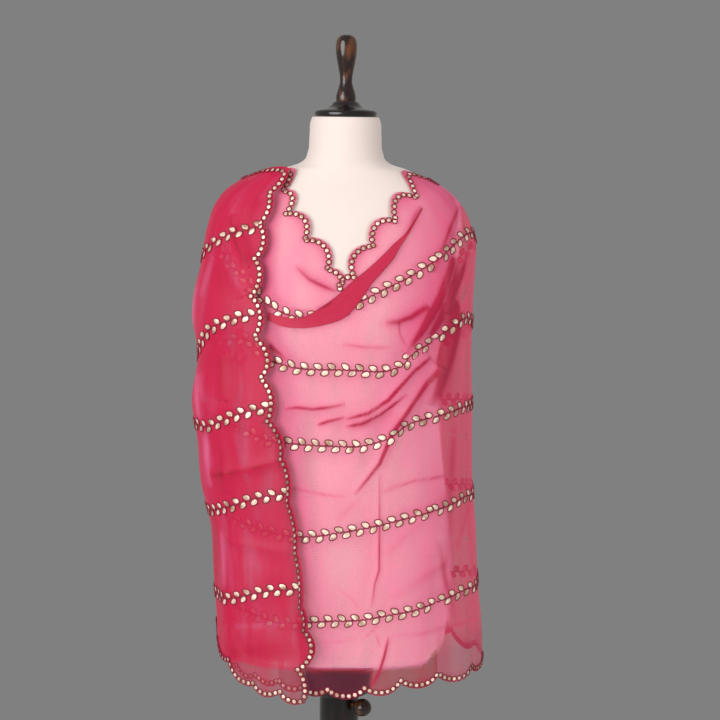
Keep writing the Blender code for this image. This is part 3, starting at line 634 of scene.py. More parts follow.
def crease_field(x, z, creases):
    """Push outwards and darkening, doubled cloth and painted shade: a bell of the distance from each crease's
    line, faded at its ends, summed.
    """
    push = np.zeros_like(x)
    dark = np.zeros_like(x)
    for high, broad, shade, fine, line in creases:
        line = np.array(line)
        nearest = np.full(x.shape, 9.0)
        share = np.zeros(x.shape)
        count = len(line) - 1
        for i in range(count):
            step = line[i + 1] - line[i]
            along = ((x - line[i, 0]) * step[0] + (z - line[i, 1]) * step[1]) / (step @ step)
            along = np.clip(along, 0.0, 1.0)
            gap = np.hypot(x - line[i, 0] - along * step[0], z - line[i, 1] - along * step[1])
            share = np.where(gap < nearest, (i + along) / count, share)
            nearest = np.minimum(gap, nearest)
        fade = np.clip(np.sin(np.pi * share), 0.0, 1.0) ** 0.3
        push = push + high * np.exp(-((nearest / broad) ** 2)) * fade
        # A narrow core where the cloth lies doubled in the crease, and a broad halo of painted shade beside
        # it.
        core = 0.80 * np.exp(-((nearest / fine) ** 2))
        halo = 0.28 * np.exp(-((nearest / (2.8 * fine)) ** 2))
        dark = dark + shade * (core + halo) * fade
    return push, dark


def cloth_fields(turn, height, extra=0.0):
    """The middle of the cloth and how dark it is, from doubled cloth and painted shade: the ring pushed out
    by lap, creases and a slow billow.
    """
    lift = np.interp(turn, lift_of_turn[:, 0], lift_of_turn[:, 1]) + extra
    x, y = ring_point(turn, height, lift)
    over_front = ramp(turn, 364.0, 372.0) * ramp(turn, 492.0, 482.0)
    over_outer = ramp(turn, 190.0, 175.0)
    over_back = ramp(turn, 206.0, 218.0) * ramp(turn, 342.0, 330.0)
    push = np.zeros_like(x)
    dark = np.zeros_like(x)
    tables = ((front_creases, over_front), (outer_creases, over_outer), (back_creases, over_back))
    for creases, over in tables:
        if np.any(over):
            more, darker = crease_field(x, height, creases)
            push = push + more * over
            dark = dark + darker * over
    # Painted shade: the front darkens towards the viewer's right flank as it turns from the key light, more
    # towards the shoulder, and stops where the cloth leaves the form.
    flank = ramp(x, 0.045, 0.155) * (0.14 + 0.24 * ramp(height, 1.0, 1.25))
    flank = (flank + 0.18 * ramp(x, 0.105, 0.155)) * ramp(x, 0.172, 0.160)
    # Painted shadow: a dark band on the front just beside the outer end's edge, where that end shades it from
    # the key light.
    end_turn = np.interp(height, beside_end[:, 0], beside_end[:, 1])
    beside = 0.55 * np.exp(-(((turn - end_turn) / 4.0) ** 2)) * (y < 0.0)
    chest = 0.10 * ramp(height, 1.16, 1.20) * ramp(x, 0.04, 0.01)
    dark = dark + (flank + chest + beside) * over_front
    dark = dark + 0.55 * ramp(turn, 243.0, 206.0) * (turn > 204.5)
    around = np.radians(turn)
    billow = 0.0016 * np.sin(9.0 * around + 14.0 * height) * ramp(height, 1.28, 0.78)
    billow = billow + 0.0010 * np.sin(17.0 * around - 23.0 * height) * ramp(height, 1.1, 0.6)
    x, y = ring_point(turn, height, lift + push + billow)
    return np.stack([x, y, height + 0.0 * x], axis=-1), dark


def cloth_frame(turn, height, extra=0.0):
    """Points of the cloth with its outward normals, from differences a little to each side."""
    point, dark = cloth_fields(turn, height, extra)
    along = cloth_fields(turn + 0.2, height, extra)[0] - cloth_fields(turn - 0.2, height, extra)[0]
    up = cloth_fields(turn, height + 0.0006, extra)[0] - cloth_fields(turn, height - 0.0006, extra)[0]
    normal = np.cross(up, along)
    normal = normal / np.maximum(np.linalg.norm(normal, axis=-1, keepdims=True), 1e-12)
    return point, normal, dark


margin = 0.0055
neck_lobe = 0.33
hem_lobe = 0.21
strip_rows = 5


def metres_per_degree(turn, height):
    ahead = cloth_fields(turn + 0.5, height)[0]
    behind = cloth_fields(turn - 0.5, height)[0]
    return np.linalg.norm((ahead - behind)[..., :2], axis=-1)


def scalloped(notches, pieces, lobes, outward, margin=0.0):
    """The straight runs between the notches, and outside them the edge: a lobe to each run, and a margin.

    The lobes are depths as shares of their run; outward is +1 for up, -1 for down or towards smaller turns.
    """
    notches = np.array(notches)
    turn, height = 0.5 * (notches[1:] + notches[:-1]).T
    scale = np.stack([metres_per_degree(turn, height), np.ones(len(turn))], axis=-1)
    chord = np.diff(notches, axis=0) * scale
    long = np.linalg.norm(chord, axis=-1, keepdims=True)
    normal = outward * np.stack([-chord[:, 1], chord[:, 0]], axis=-1) / long
    shared = np.concatenate([normal[:1], normal[1:] + normal[:-1], normal[-1:]])
    shared = shared / np.linalg.norm(shared, axis=-1, keepdims=True)
    u = (np.arange(pieces) / pieces)[None, :, None]
    deep = np.broadcast_to(lobes, len(long))[:, None, None] * long[:, None]
    out = deep * np.sin(np.pi * u) ** 0.7 * normal[:, None]
    out = out + margin * ((1 - u) * shared[:-1, None] + u * shared[1:, None])
    straight = notches[:-1, None] * (1 - u) + notches[1:, None] * u
    edge = straight + out / scale[:, None]
    last = notches[-1:] + margin * shared[-1:] / scale[-1:]
    inner = np.concatenate([straight.reshape(-1, 2), notches[-1:]])
    return inner, np.concatenate([edge.reshape(-1, 2), last])


def patch(top, bottom, left, right):
    """Grid between four edges: opposite edges blended, less the blend of the corners."""
    u = np.linspace(0.0, 1.0, len(top))[None, :, None]
    v = np.linspace(0.0, 1.0, len(left))[:, None, None]
    ruled = (1 - v) * top[None] + v * bottom[None] + (1 - u) * left[:, None] + u * right[:, None]
    corners = (1 - v) * ((1 - u) * top[0] + u * top[-1]) + v * ((1 - u) * bottom[0] + u * bottom[-1])
    return ruled - corners


def crowded_side(start, end, rows):
    """Straight side from neck to hem, its steps closer together over the shoulder."""
    share = (np.linspace(0.0, 1.0, rows + 1) ** 1.45)[:, None]
    return start + (end - start) * share


def stretch_grid(neck, hem, columns, rows, hem_lobes=hem_lobe):
    """Turns and heights of a stretch from neck edge to hem, and how near each is to its scallops, 0 to 1."""
    top, neck_edge = scalloped(neck, columns // (len(neck) - 1), neck_lobe, 1.0, margin)
    bottom, hem_edge = scalloped(hem, columns // (len(hem) - 1), hem_lobes, -1.0, margin)
    for end in (0, -1):
        neck_edge[end] = top[end] + np.array([0.0, margin])
        hem_edge[end] = bottom[end] - np.array([0.0, margin])
    left, right = (crowded_side(top[end], bottom[end], rows) for end in (0, -1))
    body = patch(top, bottom, left, right)
    v = np.linspace(0.0, 1.0, strip_rows + 1)[:-1, None, None]
    above = neck_edge[None] * (1 - v) + top[None] * v
    below = (hem_edge[None] * (1 - v) + bottom[None] * v)[::-1]
    rim = np.zeros((rows + 1 + 2 * strip_rows, len(top)))
    rim[:strip_rows] = 1 - v[:, 0]
    rim[-strip_rows:] = (1 - v[:, 0])[::-1]
    return np.concatenate([above, body, below]), rim


def weave_group():
    """Fine crossing threads with uneven slubs, over the cloth's length and width: colour, alpha, height."""
    takes = [(name, "Float") for name in ("Cover", "Bare Cover", "Doubled_And_Shade", "Bare", "Shaded", "Mottle")]
    takes += [(name, "Color") for name in ("Light", "Bare Colour", "Deep")]
    gives = (("Colour", "Color"), ("Alpha", "Float"), ("Height", "Float"))
    group, given, out = node_group("organza weave", takes, gives)
    place = add(group, "UVMap", uv_map="cloth").outputs["UV"]
    along = noise(group, scaled_place(group, place, (1400.0, 34.0, 1.0)))
    across = noise(group, scaled_place(group, place, (34.0, 1400.0, 1.0), (9.0, 9.0, 0.0)))
    threads = arithmetic(group, "ADD", along, across)
    cloud = noise(group, scaled_place(group, place, (48.0, 8.0, 1.0)), detail=5.0)
    both = arithmetic(group, "MULTIPLY_ADD", cloud, 1.6, threads)
    # Painted light: where no form is behind the cloth, its cover and colour are the bare ones, standing in
    # for the light that comes through it from behind.
    cover = add(group, "Mix", {"Factor": given["Bare"], 2: given["Cover"], 3: given["Bare Cover"]})
    covered = arithmetic(group, "ADD", cover.outputs[0], spread(group, both, 1.35, 2.25, -0.07, 0.07))
    centred = arithmetic(group, "SUBTRACT", cloud, 0.5)
    # Doubled cloth and the painted shade of creases, flank and the outer end's shadow deepen the colour
    # towards Deep and raise the cover; below 0 the cloth is thinner and paler.
    density_and_shade = arithmetic(group, "MULTIPLY_ADD", centred, given["Mottle"], given["Doubled_And_Shade"])
    at_least = arithmetic(group, "MAXIMUM", density_and_shade, -0.2)
    plain = colour_mix(group, given["Bare"], given["Light"], given["Bare Colour"])
    tint = colour_mix(group, density_and_shade, plain, given["Deep"])
    thin = arithmetic(group, "MULTIPLY", density_and_shade, -1.0, clamp=True)
    pale = colour_mix(group, thin, tint, (0.66, 0.110, 0.240))
    feed(group, out, {
        "Colour": colour_mix(group, given["Shaded"], pale, (0.150, 0.006, 0.034)),
        "Alpha": arithmetic(group, "MULTIPLY_ADD", at_least, 0.52, covered, clamp=True),
        "Height": threads,
    })
    return group


# The bare colour and bare cover are painted light: they colour the cloth where no lit form is behind it,
# standing in for the light that comes through it from behind.
def organza(name, light, deep, cover, bare=(0.88, 0.065, 0.165), bare_cover=0.30, mottle=0.35):
    """Sheer cloth whose cover grows as it turns away from the eye: 1 - (1 - cover)^(1 / cos)."""
    made, tree, shader = material(name)
    weave = add(tree, "Group", node_tree=organza_weave)
    feed(tree, weave, {"Cover": cover, "Bare Cover": bare_cover, "Mottle": mottle})
    feed(tree, weave, {"Bare Colour": bare, "Light": light, "Deep": deep})
    for look in ("Doubled_And_Shade", "Bare", "Shaded"):
        value = add(tree, "Attribute", attribute_name=look.lower())
        feed(tree, weave, {look: value.outputs["Fac"]})
    facing = add(tree, "LayerWeight", {"Blend": 0.5}).outputs["Facing"]
    straight = arithmetic(tree, "MAXIMUM", arithmetic(tree, "SUBTRACT", 1.0, facing), 0.42)
    clear = arithmetic(tree, "SUBTRACT", 1.0, weave.outputs["Alpha"])
    left_clear = arithmetic(tree, "POWER", clear, arithmetic(tree, "DIVIDE", 1.0, straight))
    feed(tree, shader, {
        "Base Color": weave.outputs["Colour"],
        "Alpha": arithmetic(tree, "SUBTRACT", 1.0, left_clear),
        "Normal": bump(tree, weave.outputs["Height"], 0.10, 0.0002),
        "Roughness": 0.5,
        "Specular IOR Level": 0.2,
        "Sheen Weight": 0.10,
        "Sheen Roughness": 0.4,
        "Sheen Tint": (1.0, 0.35, 0.5),
    })
    return made


def clear_of_form(x, z, flanks):
    """1 where the cloth hangs clear of the form, below its hips and, with flanks, beside it; 0 in front. It
    places the painted bare colour.
    """
    out = (0.0, 0.090, 0.120, 0.130, 0.137, 0.145, 0.153, 0.157)
    up = (0.661, 0.663, 0.664, 0.669, 0.681, 0.686, 0.698, 0.724)
    over = np.clip((z - np.interp(np.abs(x) * flanks, out, up)) / 0.004 + 0.5, 0.0, 1.0)
    if flanks:
        over = over * np.clip((smooth_table(form_flank, 1, z) + 0.004 - np.abs(x)) / 0.004, 0.0, 1.0)
    return 1.0 - over


def cloth_sheet(name, flat, rim, finish, node, extra=0.0, flanks=True):
    """A sheet over a grid of turn and height: length and width as UV, looks as values at its points."""
    rows, columns = flat.shape[:2]
    point, normal, dark = cloth_frame(flat[..., 0], flat[..., 1], extra)
    made = piece(name, point.reshape(-1, 3), [grid_quads(rows, columns)], finish, normal)
    uv = np.stack([flat[..., 0] * 0.0031, flat[..., 1]], axis=-1).reshape(-1, 2)
    corner = np.empty(len(made.data.loops), np.int32)
    made.data.loops.foreach_get("vertex_index", corner)
    layer = made.data.uv_layers.new(name="cloth")
    layer.data.foreach_set("uv", uv[corner].astype(np.float32).ravel())
    x, y, z = np.moveaxis(point, -1, 0)
    if node == "cloth_right_side":
        shaded = 0.35 * ramp(z, 0.715, 0.680)
    else:
        shaded = ramp(np.abs(x + 0.004), 0.0515, 0.0485) * ramp(z, 0.658, 0.655) * (y < 0.0)
    # Darkening at each point: doubled cloth in creases and at the rolled rims, with painted shade of the
    # creases, the right flank and the outer end's shadow.
    doubled_and_shade = np.clip(dark + 0.5 * rim, -1.2, 1.0)
    for look, value in (("doubled_and_shade", doubled_and_shade), ("bare", clear_of_form(x, z, flanks)), ("shaded", shaded)):
        layer = made.data.attributes.new(look, "FLOAT", "POINT")
        layer.data.foreach_set("value", value.astype(np.float32).ravel())
    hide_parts(node)
    return made


organza_weave = weave_group()
rose = (1.0, 0.180, 0.370)
deep_crimson = (0.36, 0.010, 0.046)

# The under lap: the inner end of the cloth, from under the outer end over the viewer's left shoulder and
# round to the back. It lies straight on the form, so it is wound on first.
under_neck = ((484.9, 1.349), (512.0, 1.369), (540.0, 1.360), (570.0, 1.344), (600.0, 1.332))
under_hem = (
    (476.0, 0.642), (492.0, 0.642), (508.0, 0.648), (528.0, 0.664), (552.0, 0.676), (576.0, 0.680),
    (600.0, 0.680),
)
flat, rim = stretch_grid(under_neck, under_hem, 96, 240)
finish = organza("organza under lap", rose, deep_crimson, 0.40)
under_lap = cloth_sheet("organza_under_lap", flat, rim, finish, "cloth_under_lap")

# The front: drawn across the form below the neck, its long scalloped edge making a soft V; pressed and
# hanging creases cross it, the strongest from the viewer's right shoulder down to the waist.
front_neck = (
    (410.0, 1.342), (428.0, 1.309), (440.0, 1.274), (447.0, 1.231), (450.7, 1.214), (454.5, 1.241),
    (464.3, 1.281), (476.2, 1.317), (484.9, 1.349),
)
front_hem = (
    (412.0, 0.650), (430.0, 0.645), (443.0, 0.634), (453.0, 0.632), (464.0, 0.634), (476.0, 0.642),
)
flat, rim = stretch_grid(front_neck, front_hem, 320, 240)
finish = organza("organza front", rose, deep_crimson, 0.40, (0.38, 0.006, 0.025), 0.45)
front = cloth_sheet("organza_front", flat, rim, finish, "cloth_front")

# The side on the viewer's right: the same cloth over that shoulder and straight down, clear of the form,
# where one layer lets the grey behind it through.
side_neck = ((343.0, 1.354), (368.0, 1.360), (410.0, 1.342))
side_hem = ((343.0, 0.650), (366.0, 0.652), (389.0, 0.651), (412.0, 0.650))
flat, rim = stretch_grid(side_neck, side_hem, 120, 240)
finish = organza("organza right side", rose, deep_crimson, 0.40)
right_side = cloth_sheet("organza_right_side", flat, rim, finish, "cloth_right_side")

# The back: from flank to flank behind the form, its scalloped neck edge dipping below the neck, with drag
# folds from both shoulders like those of the front.
back_neck = (
    (205.0, 1.352), (228.0, 1.335), (250.0, 1.320), (272.0, 1.314), (294.0, 1.320), (318.0, 1.338),
    (343.0, 1.354),
)
back_hem = (
    (205.0, 0.682), (222.0, 0.677), (239.0, 0.672), (256.0, 0.667), (272.0, 0.663), (288.0, 0.660),
    (304.0, 0.657), (320.0, 0.655), (343.0, 0.650),
)
back_lobes = (0.21, 0.21, 0.21, 0.21, 0.21, 0.21, 0.21, 0.32)
flat, rim = stretch_grid(back_neck, back_hem, 168, 240, back_lobes)
finish = organza("organza back", rose, deep_crimson, 0.42)
back = cloth_sheet("organza_back", flat, rim, finish, "cloth_back")

# The outer end: the last stretch, over the under lap, round the viewer's left flank and forward; its short
# edge hangs down the front with its own scallops.
end_edge = (
    (130.0, 1.377), (126.0, 1.346), (124.0, 1.303), (122.0, 1.255), (121.0, 1.203), (119.0, 1.145),
    (117.0, 1.086), (113.0, 1.025), (109.0, 0.973), (107.0, 0.908), (105.0, 0.837), (103.0, 0.757),
    (101.5, 0.722), (104.0, 0.663), (102.0, 0.617),
)
end_neck = ((130.0, 1.377), (168.0, 1.367), (205.0, 1.352))
end_hem = (
    (102.0, 0.617), (112.0, 0.630), (127.0, 0.634), (145.0, 0.660), (163.0, 0.682), (184.0, 0.690),
    (205.0, 0.682),
)
end_lobes = (0.23, 0.23, 0.23, 0.23, 0.23, 0.23, 0.20, 0.15, 0.10, 0.06, 0.04, 0.10, 0.26, 0.15)
shoulder_lobe = 0.10


def end_grid(columns, steps):
    """Turns and heights of the outer end, with a strip out to each of its three scalloped edges."""
    left, end_rim = scalloped(end_edge, steps, end_lobes, -1.0, margin)
    top, neck_edge = scalloped(end_neck, columns // (len(end_neck) - 1), shoulder_lobe, 1.0, margin)
    bottom, hem_edge = scalloped(end_hem, columns // (len(end_hem) - 1), hem_lobe, -1.0, margin)
    neck_edge[-1] = top[-1] + np.array([0.0, margin])
    hem_edge[-1] = bottom[-1] - np.array([0.0, margin])
    body = patch(top, bottom, left, crowded_side(top[-1], bottom[-1], len(left) - 1))
    v = np.linspace(0.0, 1.0, strip_rows + 1)[:-1, None, None]
    above = neck_edge[None] * (1 - v) + top[None] * v
    below = (hem_edge[None] * (1 - v) + bottom[None] * v)[::-1]
    middle = np.concatenate([above, body, below])
    outermost = np.concatenate([
        above[:, 0] + end_rim[0] - left[0],
        end_rim,
        below[:, 0] + end_rim[-1] - left[-1],
    ])
    beside = (outermost[None] * (1 - v) + middle[:, 0][None] * v).transpose(1, 0, 2)
    rim = np.zeros((len(middle), strip_rows + len(top)))
    rim[:strip_rows] = 1 - v[:, 0]
    rim[-strip_rows:] = (1 - v[:, 0])[::-1]
    rim[:, :strip_rows] = np.maximum(rim[:, :strip_rows], 1 - v[:, 0].T)
    return np.concatenate([beside, middle], axis=1), rim


flat, rim = end_grid(126, 16)
crimson = (0.49, 0.007, 0.052)
finish = organza(
    "organza outer end", crimson, (0.28, 0.004, 0.022), 0.69, (0.40, 0.020, 0.060), 0.42, mottle=1.3
)
outer_end = cloth_sheet(
    "organza_outer_end", flat, rim, finish, "cloth_outer_end", flanks=False
)

# The cowl fold: the neck edge's slack falls into one soft doubled fold, from the viewer's right shoulder
# down across the chest to the outer end; two thicknesses of organza, so much deeper in colour.

# x and z of the upper edge, x and z of the lower edge, and how far the fold stands out
cowl_table = np.array([
    (0.111, 1.3290, 0.1115, 1.3260, 0.0005),
    (0.090, 1.2960, 0.0925, 1.2920, 0.0020),
    (0.071, 1.2780, 0.0810, 1.2750, 0.0040),
    (0.052, 1.2590, 0.0720, 1.2590, 0.0055),
    (0.033, 1.2420, 0.0580, 1.2420, 0.0065),
    (0.011, 1.2240, 0.0410, 1.2230, 0.0070),
    (-0.009, 1.2050, 0.0270, 1.2020, 0.0070),
    (-0.032, 1.1880, 0.0030, 1.1750, 0.0065),
    (-0.058, 1.1740, -0.0310, 1.1630, 0.0050),
    (-0.080, 1.1740, -0.0600, 1.1590, 0.0030),
    (-0.093, 1.1760, -0.0860, 1.1610, 0.0012),
    (-0.105, 1.1800, -0.1060, 1.1690, 0.0),
])


def turn_at(x, z):
    """Turn of the front point of the ring at this height that has this x."""
    cosine = np.sign(x)
    across = np.where(x > 0, smooth_table(hull, 1, z), smooth_table(hull, 3, z))
    power = smooth_table(hull, 6, z) / 2.0
    return 360.0 + np.degrees(np.arccos(cosine * (np.abs(x) / across) ** power))


def cowl_grid(rows, columns):
    """Grid between the fold's edges, u along and w across; it stands out by the table times sin(pi w)^0.8."""
    table = np.column_stack([np.linspace(0.0, 1.0, len(cowl_table)), cowl_table])
    u = np.linspace(0.0, 1.0, columns + 1)
    w = np.linspace(0.0, 1.0, rows + 1)[:, None]
    x = (1 - w) * smooth_table(table, 1, u) + w * smooth_table(table, 3, u)
    z = (1 - w) * smooth_table(table, 2, u) + w * smooth_table(table, 4, u)
    stand = np.clip(smooth_table(table, 5, u), 0.0, 1.0) * np.sin(np.pi * w) ** 0.8
    streak = 0.5 * np.exp(-(((w - 0.34 - 0.16 * u) / 0.07) ** 2)) * np.sin(np.pi * u)
    rim = 0.9 * (2.0 * np.abs(w - 0.5)) ** 6 + streak
    return np.stack([turn_at(x, z), z], axis=-1), 0.0016 + stand, rim


flat, stand, rim = cowl_grid(24, 200)
finish = organza("organza cowl fold", (0.47, 0.018, 0.060), (0.22, 0.004, 0.014), 0.84)
cowl = cloth_sheet(
    "organza_cowl_fold", flat, rim, finish, "cloth_cowl_fold", extra=stand
)

# The border: small round discs of flat gold-coloured ribbon, each held in a ring of dark red thread, side
# by side along every scalloped edge, a few millimetres in from the cloth's end.


def gota_finish():
    """Woven gold-beige ribbon: fine threads across and uneven brightness from piece to piece."""
    made, tree, shader = material("gota ribbon")
    place = add(tree, "TexCoord").outputs["Object"]
    patchy = spread(tree, noise(tree, place, 90.0), 0.35, 0.65)
    feed(tree, shader, {
        "Base Color": colour_mix(tree, patchy, (0.38, 0.23, 0.15), (0.92, 0.74, 0.60)),
        "Metallic": 0.2,
        "Roughness": 0.34,
        "Normal": bump(tree, noise(tree, place, 1500.0), 0.4, 0.0003),
    })
    return made


def thread_finish():
    """Twisted dark red embroidery thread: close spots of lighter and darker red."""
    made, tree, shader = material("maroon thread")
    twist = noise(tree, add(tree, "TexCoord").outputs["Object"], 700.0)
    red = colour_mix(tree, twist, (0.055, 0.003, 0.009), (0.34, 0.012, 0.040))
    feed(tree, shader, {"Base Color": red, "Roughness": 0.5})
    return made


gota = gota_finish()
thread = thread_finish()
on_cloth = 0.0006


def spaced_places(line, spacing, start=0.0):
    """Turn and height of places at equal steps along a line of turn and height."""
    line = np.asarray(line, float)
    point = cloth_fields(line[:, 0], line[:, 1])[0]
    run = np.concatenate([[0.0], np.cumsum(np.linalg.norm(np.diff(point, axis=0), axis=1))])
    at = np.arange(start, run[-1], spacing)
    return np.interp(at, run, line[:, 0]), np.interp(at, run, line[:, 1])


def local_axes(turn, height):
    """Point just over the cloth, outward normal, level direction along the cloth and direction up it."""
    point, normal, _ = cloth_frame(turn, height, on_cloth)
    ahead = cloth_fields(turn + 0.2, height, on_cloth)[0]
    along = ahead - cloth_fields(turn - 0.2, height, on_cloth)[0]
    along = along / np.linalg.norm(along, axis=-1, keepdims=True)
    return point, normal, along, np.cross(along, normal)


def stamped(template, centre, first, second, normal):
    """Copies of a small shape at many places at once: centre + x first + y second + z normal."""
    return (
        centre[:, None]
        + template[None, :, :1] * first[:, None]
        + template[None, :, 1:2] * second[:, None]
        + template[None, :, 2:] * normal[:, None]
    ).reshape(-1, 3)


def repeated(faces, points_each, copies):
    """The shape's faces numbered on for each copy."""
    first = (np.arange(copies) * points_each)[:, None, None]
    return [(face[None] + first).reshape(-1, face.shape[1]) for face in faces]


def domed_patch(outline, dome):
    """Flat outline raised to a low dome: outline, the outline at 0.55 raised, and the middle."""
    count = len(outline)
    edge = np.column_stack([outline, np.zeros(count)])
    inner = np.column_stack([0.55 * outline, np.full(count, 0.8 * dome)])
    points = np.concatenate([edge, inner, [[0.0, 0.0, dome]]])
    around = np.arange(count)
    after = np.roll(around, -1)
    band = np.stack([around, after, after + count, around + count], axis=-1)
    fan = np.stack([around + count, after + count, np.full(count, 2 * count)], axis=-1)
    return points, [band, fan]


def thread_loop(outline, radius, lift):
    """Closed tube of four sides about a flat outline."""
    count = len(outline)
    ahead = np.roll(outline, -1, axis=0) - np.roll(outline, 1, axis=0)
    ahead = ahead / np.linalg.norm(ahead, axis=1, keepdims=True)
    out = np.column_stack([ahead[:, 1], -ahead[:, 0]])
    around = np.radians([0.0, 90.0, 180.0, 270.0])
    flat = outline[:, None] + radius * np.cos(around)[None, :, None] * out[:, None]
    high = lift + radius * np.sin(around)[None, :] + 0.0 * outline[:, :1]
    points = np.concatenate([flat, high[..., None]], axis=-1).reshape(-1, 3)
    index = np.arange(count * 4).reshape(count, 4)
    following = np.roll(index, -1, axis=0)
    corners = [index, following, np.roll(following, -1, axis=1), np.roll(index, -1, axis=1)]
    return points, [np.stack(corners, axis=-1).reshape(-1, 4)[:, ::-1]]


def stamped_piece(name, shape, axes, finish):
    """One piece of many copies of a shape, a (points, faces) pair, at the places that the axes give."""
    template, faces = shape
    points = stamped(template, *axes)
    return piece(name, points, repeated(faces, len(template), len(axes[0])), finish)


def disc_border(name, edges, edgewise=None):
    """Discs and thread rings along scalloped edges, each (notches, lobes, outward); edgewise turns them."""
    angle = np.linspace(0.0, 2 * np.pi, 12, endpoint=False)
    circle = np.column_stack([np.cos(angle), np.sin(angle)])
    lines = [scalloped(notches, 16, lobes, outward)[1] for notches, lobes, outward in edges]
    turn, height = np.concatenate([spaced_places(line, 0.0088, 0.004) for line in lines], axis=1)
    point, normal, along, up = local_axes(turn, height)
    turned = 0.12 * np.sin(np.arange(len(turn)) * 12.9898)
    if edgewise is not None:
        turned = turned + edgewise(turn, height)
    turned = turned[:, None]
    side = np.cos(turned) * along + np.sin(turned) * normal
    facing = np.cos(turned) * normal - np.sin(turned) * along
    axes = (point + 0.0030 * np.abs(np.sin(turned)) * normal, side, up, facing)
    disc = domed_patch(0.0030 * circle, 0.0005)
    ring = thread_loop(0.0036 * circle, 0.0009, 0.0002)
    return [
        stamped_piece(name + "_discs", disc, axes, gota),
        stamped_piece(name + "_rings", ring, axes, thread),
    ]


def turned_under(turn, height):
    """The short edge turns edgewise to the front from 1.06 m to 1.00 m, and back again at 0.72 m."""
    return 1.10 * ramp(height, 1.06, 1.00) * ramp(height, 0.700, 0.720) * (turn < 121.0)


front_edges = ((front_neck, neck_lobe, 1.0), (front_hem, hem_lobe, -1.0))
side_edges = ((side_neck, neck_lobe, 1.0), (side_hem, hem_lobe, -1.0))
back_edges = ((back_neck, neck_lobe, 1.0), (back_hem, back_lobes, -1.0))
under_edges = ((under_neck, neck_lobe, 1.0), (under_hem, hem_lobe, -1.0))
end_edges = ((end_edge, end_lobes, -1.0), (end_neck, shoulder_lobe, 1.0), (end_hem, hem_lobe, -1.0))
front_trim = disc_border("front_border", front_edges)
side_trim = disc_border("side_border", side_edges)
back_trim = disc_border("back_border", back_edges)
under_trim = disc_border("under_border", under_edges)
end_trim = disc_border("end_border", end_edges, turned_under)

# The leaf rows: five rows run the length of the cloth, each a stem of twisted dark red thread with ribbon
# leaves sewn above and below it by turns, leaning towards the cloth's inner end and outlined in thread.

# each row is a line of turns and heights, from the uppermost row down
rows_of_outer = (
    ((122.5, 1.301), (132.0, 1.293), (139.0, 1.288), (146.0, 1.28), (153.0, 1.272), (164.0, 1.259),
     (185.0, 1.245), (205.0, 1.235)),
    ((118.5, 1.176), (124.0, 1.174), (134.0, 1.163), (139.0, 1.158), (145.0, 1.149), (158.0, 1.124),
     (180.0, 1.1), (205.0, 1.085)),
    ((112.0, 1.046), (124.0, 1.034), (134.0, 1.022), (145.0, 1.009), (159.0, 1.006), (180.0, 1.0),
     (205.0, 0.998)),
    ((106.0, 0.922), (120.0, 0.911), (134.0, 0.896), (158.0, 0.878), (180.0, 0.872), (205.0, 0.868)),
    ((103.0, 0.783), (115.0, 0.777), (127.0, 0.767), (145.0, 0.752), (157.0, 0.75), (180.0, 0.745),
     (205.0, 0.742)),
)
rows_of_back = (
    ((205.0, 1.235), (240.0, 1.218), (275.0, 1.212), (310.0, 1.228), (343.0, 1.262)),
    ((205.0, 1.085), (240.0, 1.08), (280.0, 1.088), (317.0, 1.115), (343.0, 1.14)),
    ((205.0, 0.998), (240.0, 0.996), (275.0, 1.002), (317.0, 1.024), (343.0, 1.032)),
    ((205.0, 0.868), (240.0, 0.868), (280.0, 0.876), (323.0, 0.89), (343.0, 0.899)),
    ((205.0, 0.742), (240.0, 0.742), (280.0, 0.745), (326.0, 0.751), (343.0, 0.762)),
)
rows_of_side = (
    ((343.0, 1.262), (360.0, 1.284), (369.0, 1.29), (390.0, 1.285), (402.0, 1.27), (410.5, 1.258)),
    ((343.0, 1.14), (360.0, 1.155), (370.0, 1.161), (387.0, 1.169), (394.0, 1.166), (402.0, 1.156),
     (410.5, 1.142)),
    ((343.0, 1.032), (360.0, 1.036), (372.0, 1.036), (392.0, 1.037), (400.0, 1.034), (410.7, 1.029)),
    ((343.0, 0.899), (360.0, 0.905), (369.0, 0.902), (385.0, 0.903), (397.0, 0.898), (411.0, 0.893)),
    ((343.0, 0.762), (360.0, 0.768), (375.0, 0.766), (391.0, 0.766), (400.0, 0.762), (411.3, 0.756)),
)
rows_of_front = (
    ((411.6, 1.256), (416.0, 1.248), (426.0, 1.231), (435.0, 1.217), (444.0, 1.2), (451.0, 1.184),
     (459.0, 1.175), (469.0, 1.178), (478.0, 1.19)),
    ((411.9, 1.14), (414.0, 1.136), (424.0, 1.12), (427.0, 1.108), (432.0, 1.101), (450.0, 1.1),
     (464.0, 1.101), (479.0, 1.112)),
    ((411.8, 1.0286), (420.0, 1.025), (429.0, 1.014), (432.5, 1.005), (437.0, 0.998), (442.0, 0.992),
     (456.0, 0.99), (468.0, 0.992), (478.0, 0.994)),
    ((412.0, 0.8923), (426.0, 0.883), (437.0, 0.875), (448.0, 0.866), (456.0, 0.859), (465.0, 0.856),
     (477.0, 0.858)),
    ((412.3, 0.7553), (423.0, 0.748), (435.0, 0.741), (444.0, 0.735), (456.0, 0.732), (469.0, 0.728),
     (476.0, 0.726)),
)
rows_of_under = (
    ((478.0, 1.19), (497.0, 1.236), (503.0, 1.241), (516.0, 1.265), (540.0, 1.27), (570.0, 1.245),
     (600.0, 1.225)),
    ((479.0, 1.112), (487.0, 1.136), (501.0, 1.136), (520.0, 1.132), (540.0, 1.13), (570.0, 1.125),
     (600.0, 1.12)),
    ((478.0, 0.994), (490.0, 1.007), (520.0, 1.01), (560.0, 1.002), (600.0, 1.0)),
    ((477.0, 0.858), (498.0, 0.869), (540.0, 0.87), (600.0, 0.868)),
    ((476.0, 0.726), (503.0, 0.737), (540.0, 0.74), (600.0, 0.74)),
)


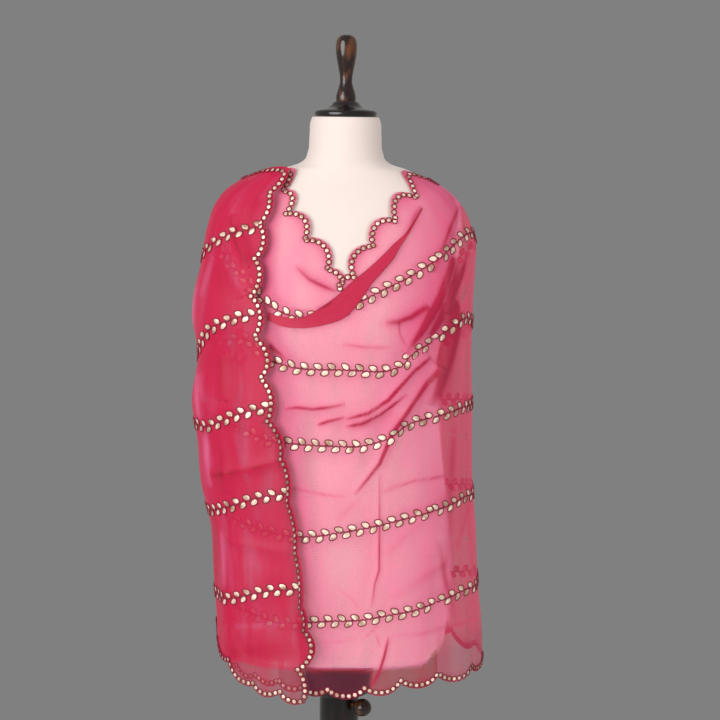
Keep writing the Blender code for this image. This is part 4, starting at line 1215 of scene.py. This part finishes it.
def leaf_rows(name, rows):
    """Leaves and stems along each row's line; a leaf every 9.8 mm, above and below the stem by turns."""
    angle = np.linspace(0.0, 2 * np.pi, 14, endpoint=False)
    outline = np.column_stack([0.0056 * np.cos(angle), 0.0036 * np.sin(angle) * (1.0 - 0.18 * np.cos(angle))])
    stem_angle = np.radians([0.0, 72.0, 144.0, 216.0, 288.0])[None, :, None]
    leaf_axes = []
    stem_points, stem_faces, count = [], [], 0
    for number, row in enumerate(rows):
        row = np.array(row)
        fine = np.linspace(row[0, 0], row[-1, 0], 260)
        line = np.column_stack([fine, smooth_table(row, 1, fine)])
        turn, height = spaced_places(line, 0.0098, 0.005)
        point, normal, along, up = local_axes(turn, height)
        ahead, behind = (np.interp(turn + step, line[:, 0], line[:, 1]) for step in (0.5, -0.5))
        slope = (ahead - behind) / metres_per_degree(turn, height)
        way = along + slope[:, None] * up
        way = way / np.linalg.norm(way, axis=-1, keepdims=True)
        across = np.cross(way, normal)
        order = np.arange(len(turn))[:, None]
        side = np.where(order % 2 == 0, 1.0, -1.0)
        lean = np.radians(30.0) + 0.16 * np.sin(order * 7.13 + number * 2.1)
        first = np.cos(lean) * way + side * np.sin(lean) * across
        leaf_axes.append((point + side * 0.0048 * across, first, np.cross(normal, first), normal))
        point, normal, along, up = local_axes(*spaced_places(line, 0.0016))
        sway = 0.0007 * np.sin(np.arange(len(point)) * 1.28)[:, None]
        around = np.cos(stem_angle) * up[:, None] + np.sin(stem_angle) * normal[:, None]
        stem_points.append(((point + sway * up)[:, None] + 0.0010 * around).reshape(-1, 3))
        stem_faces.append(grid_quads(len(point), 5, closed=True)[:, ::-1] + count)
        count += len(point) * 5
    axes = [np.concatenate(parts) for parts in zip(*leaf_axes)]
    leaf = domed_patch(outline, 0.0006)
    edging = thread_loop(outline * np.array([1.12, 1.19]), 0.0008, 0.0002)
    return [
        stamped_piece(name + "_leaves", leaf, axes, gota),
        stamped_piece(name + "_outlines", edging, axes, thread),
        piece(name + "_stems", np.concatenate(stem_points), [np.concatenate(stem_faces)], thread),
    ]


end_trim += leaf_rows("end_rows", rows_of_outer)
back_trim += leaf_rows("back_rows", rows_of_back)
side_trim += leaf_rows("side_rows", rows_of_side)
front_trim += leaf_rows("front_rows", rows_of_front)
under_trim += leaf_rows("under_rows", rows_of_under)
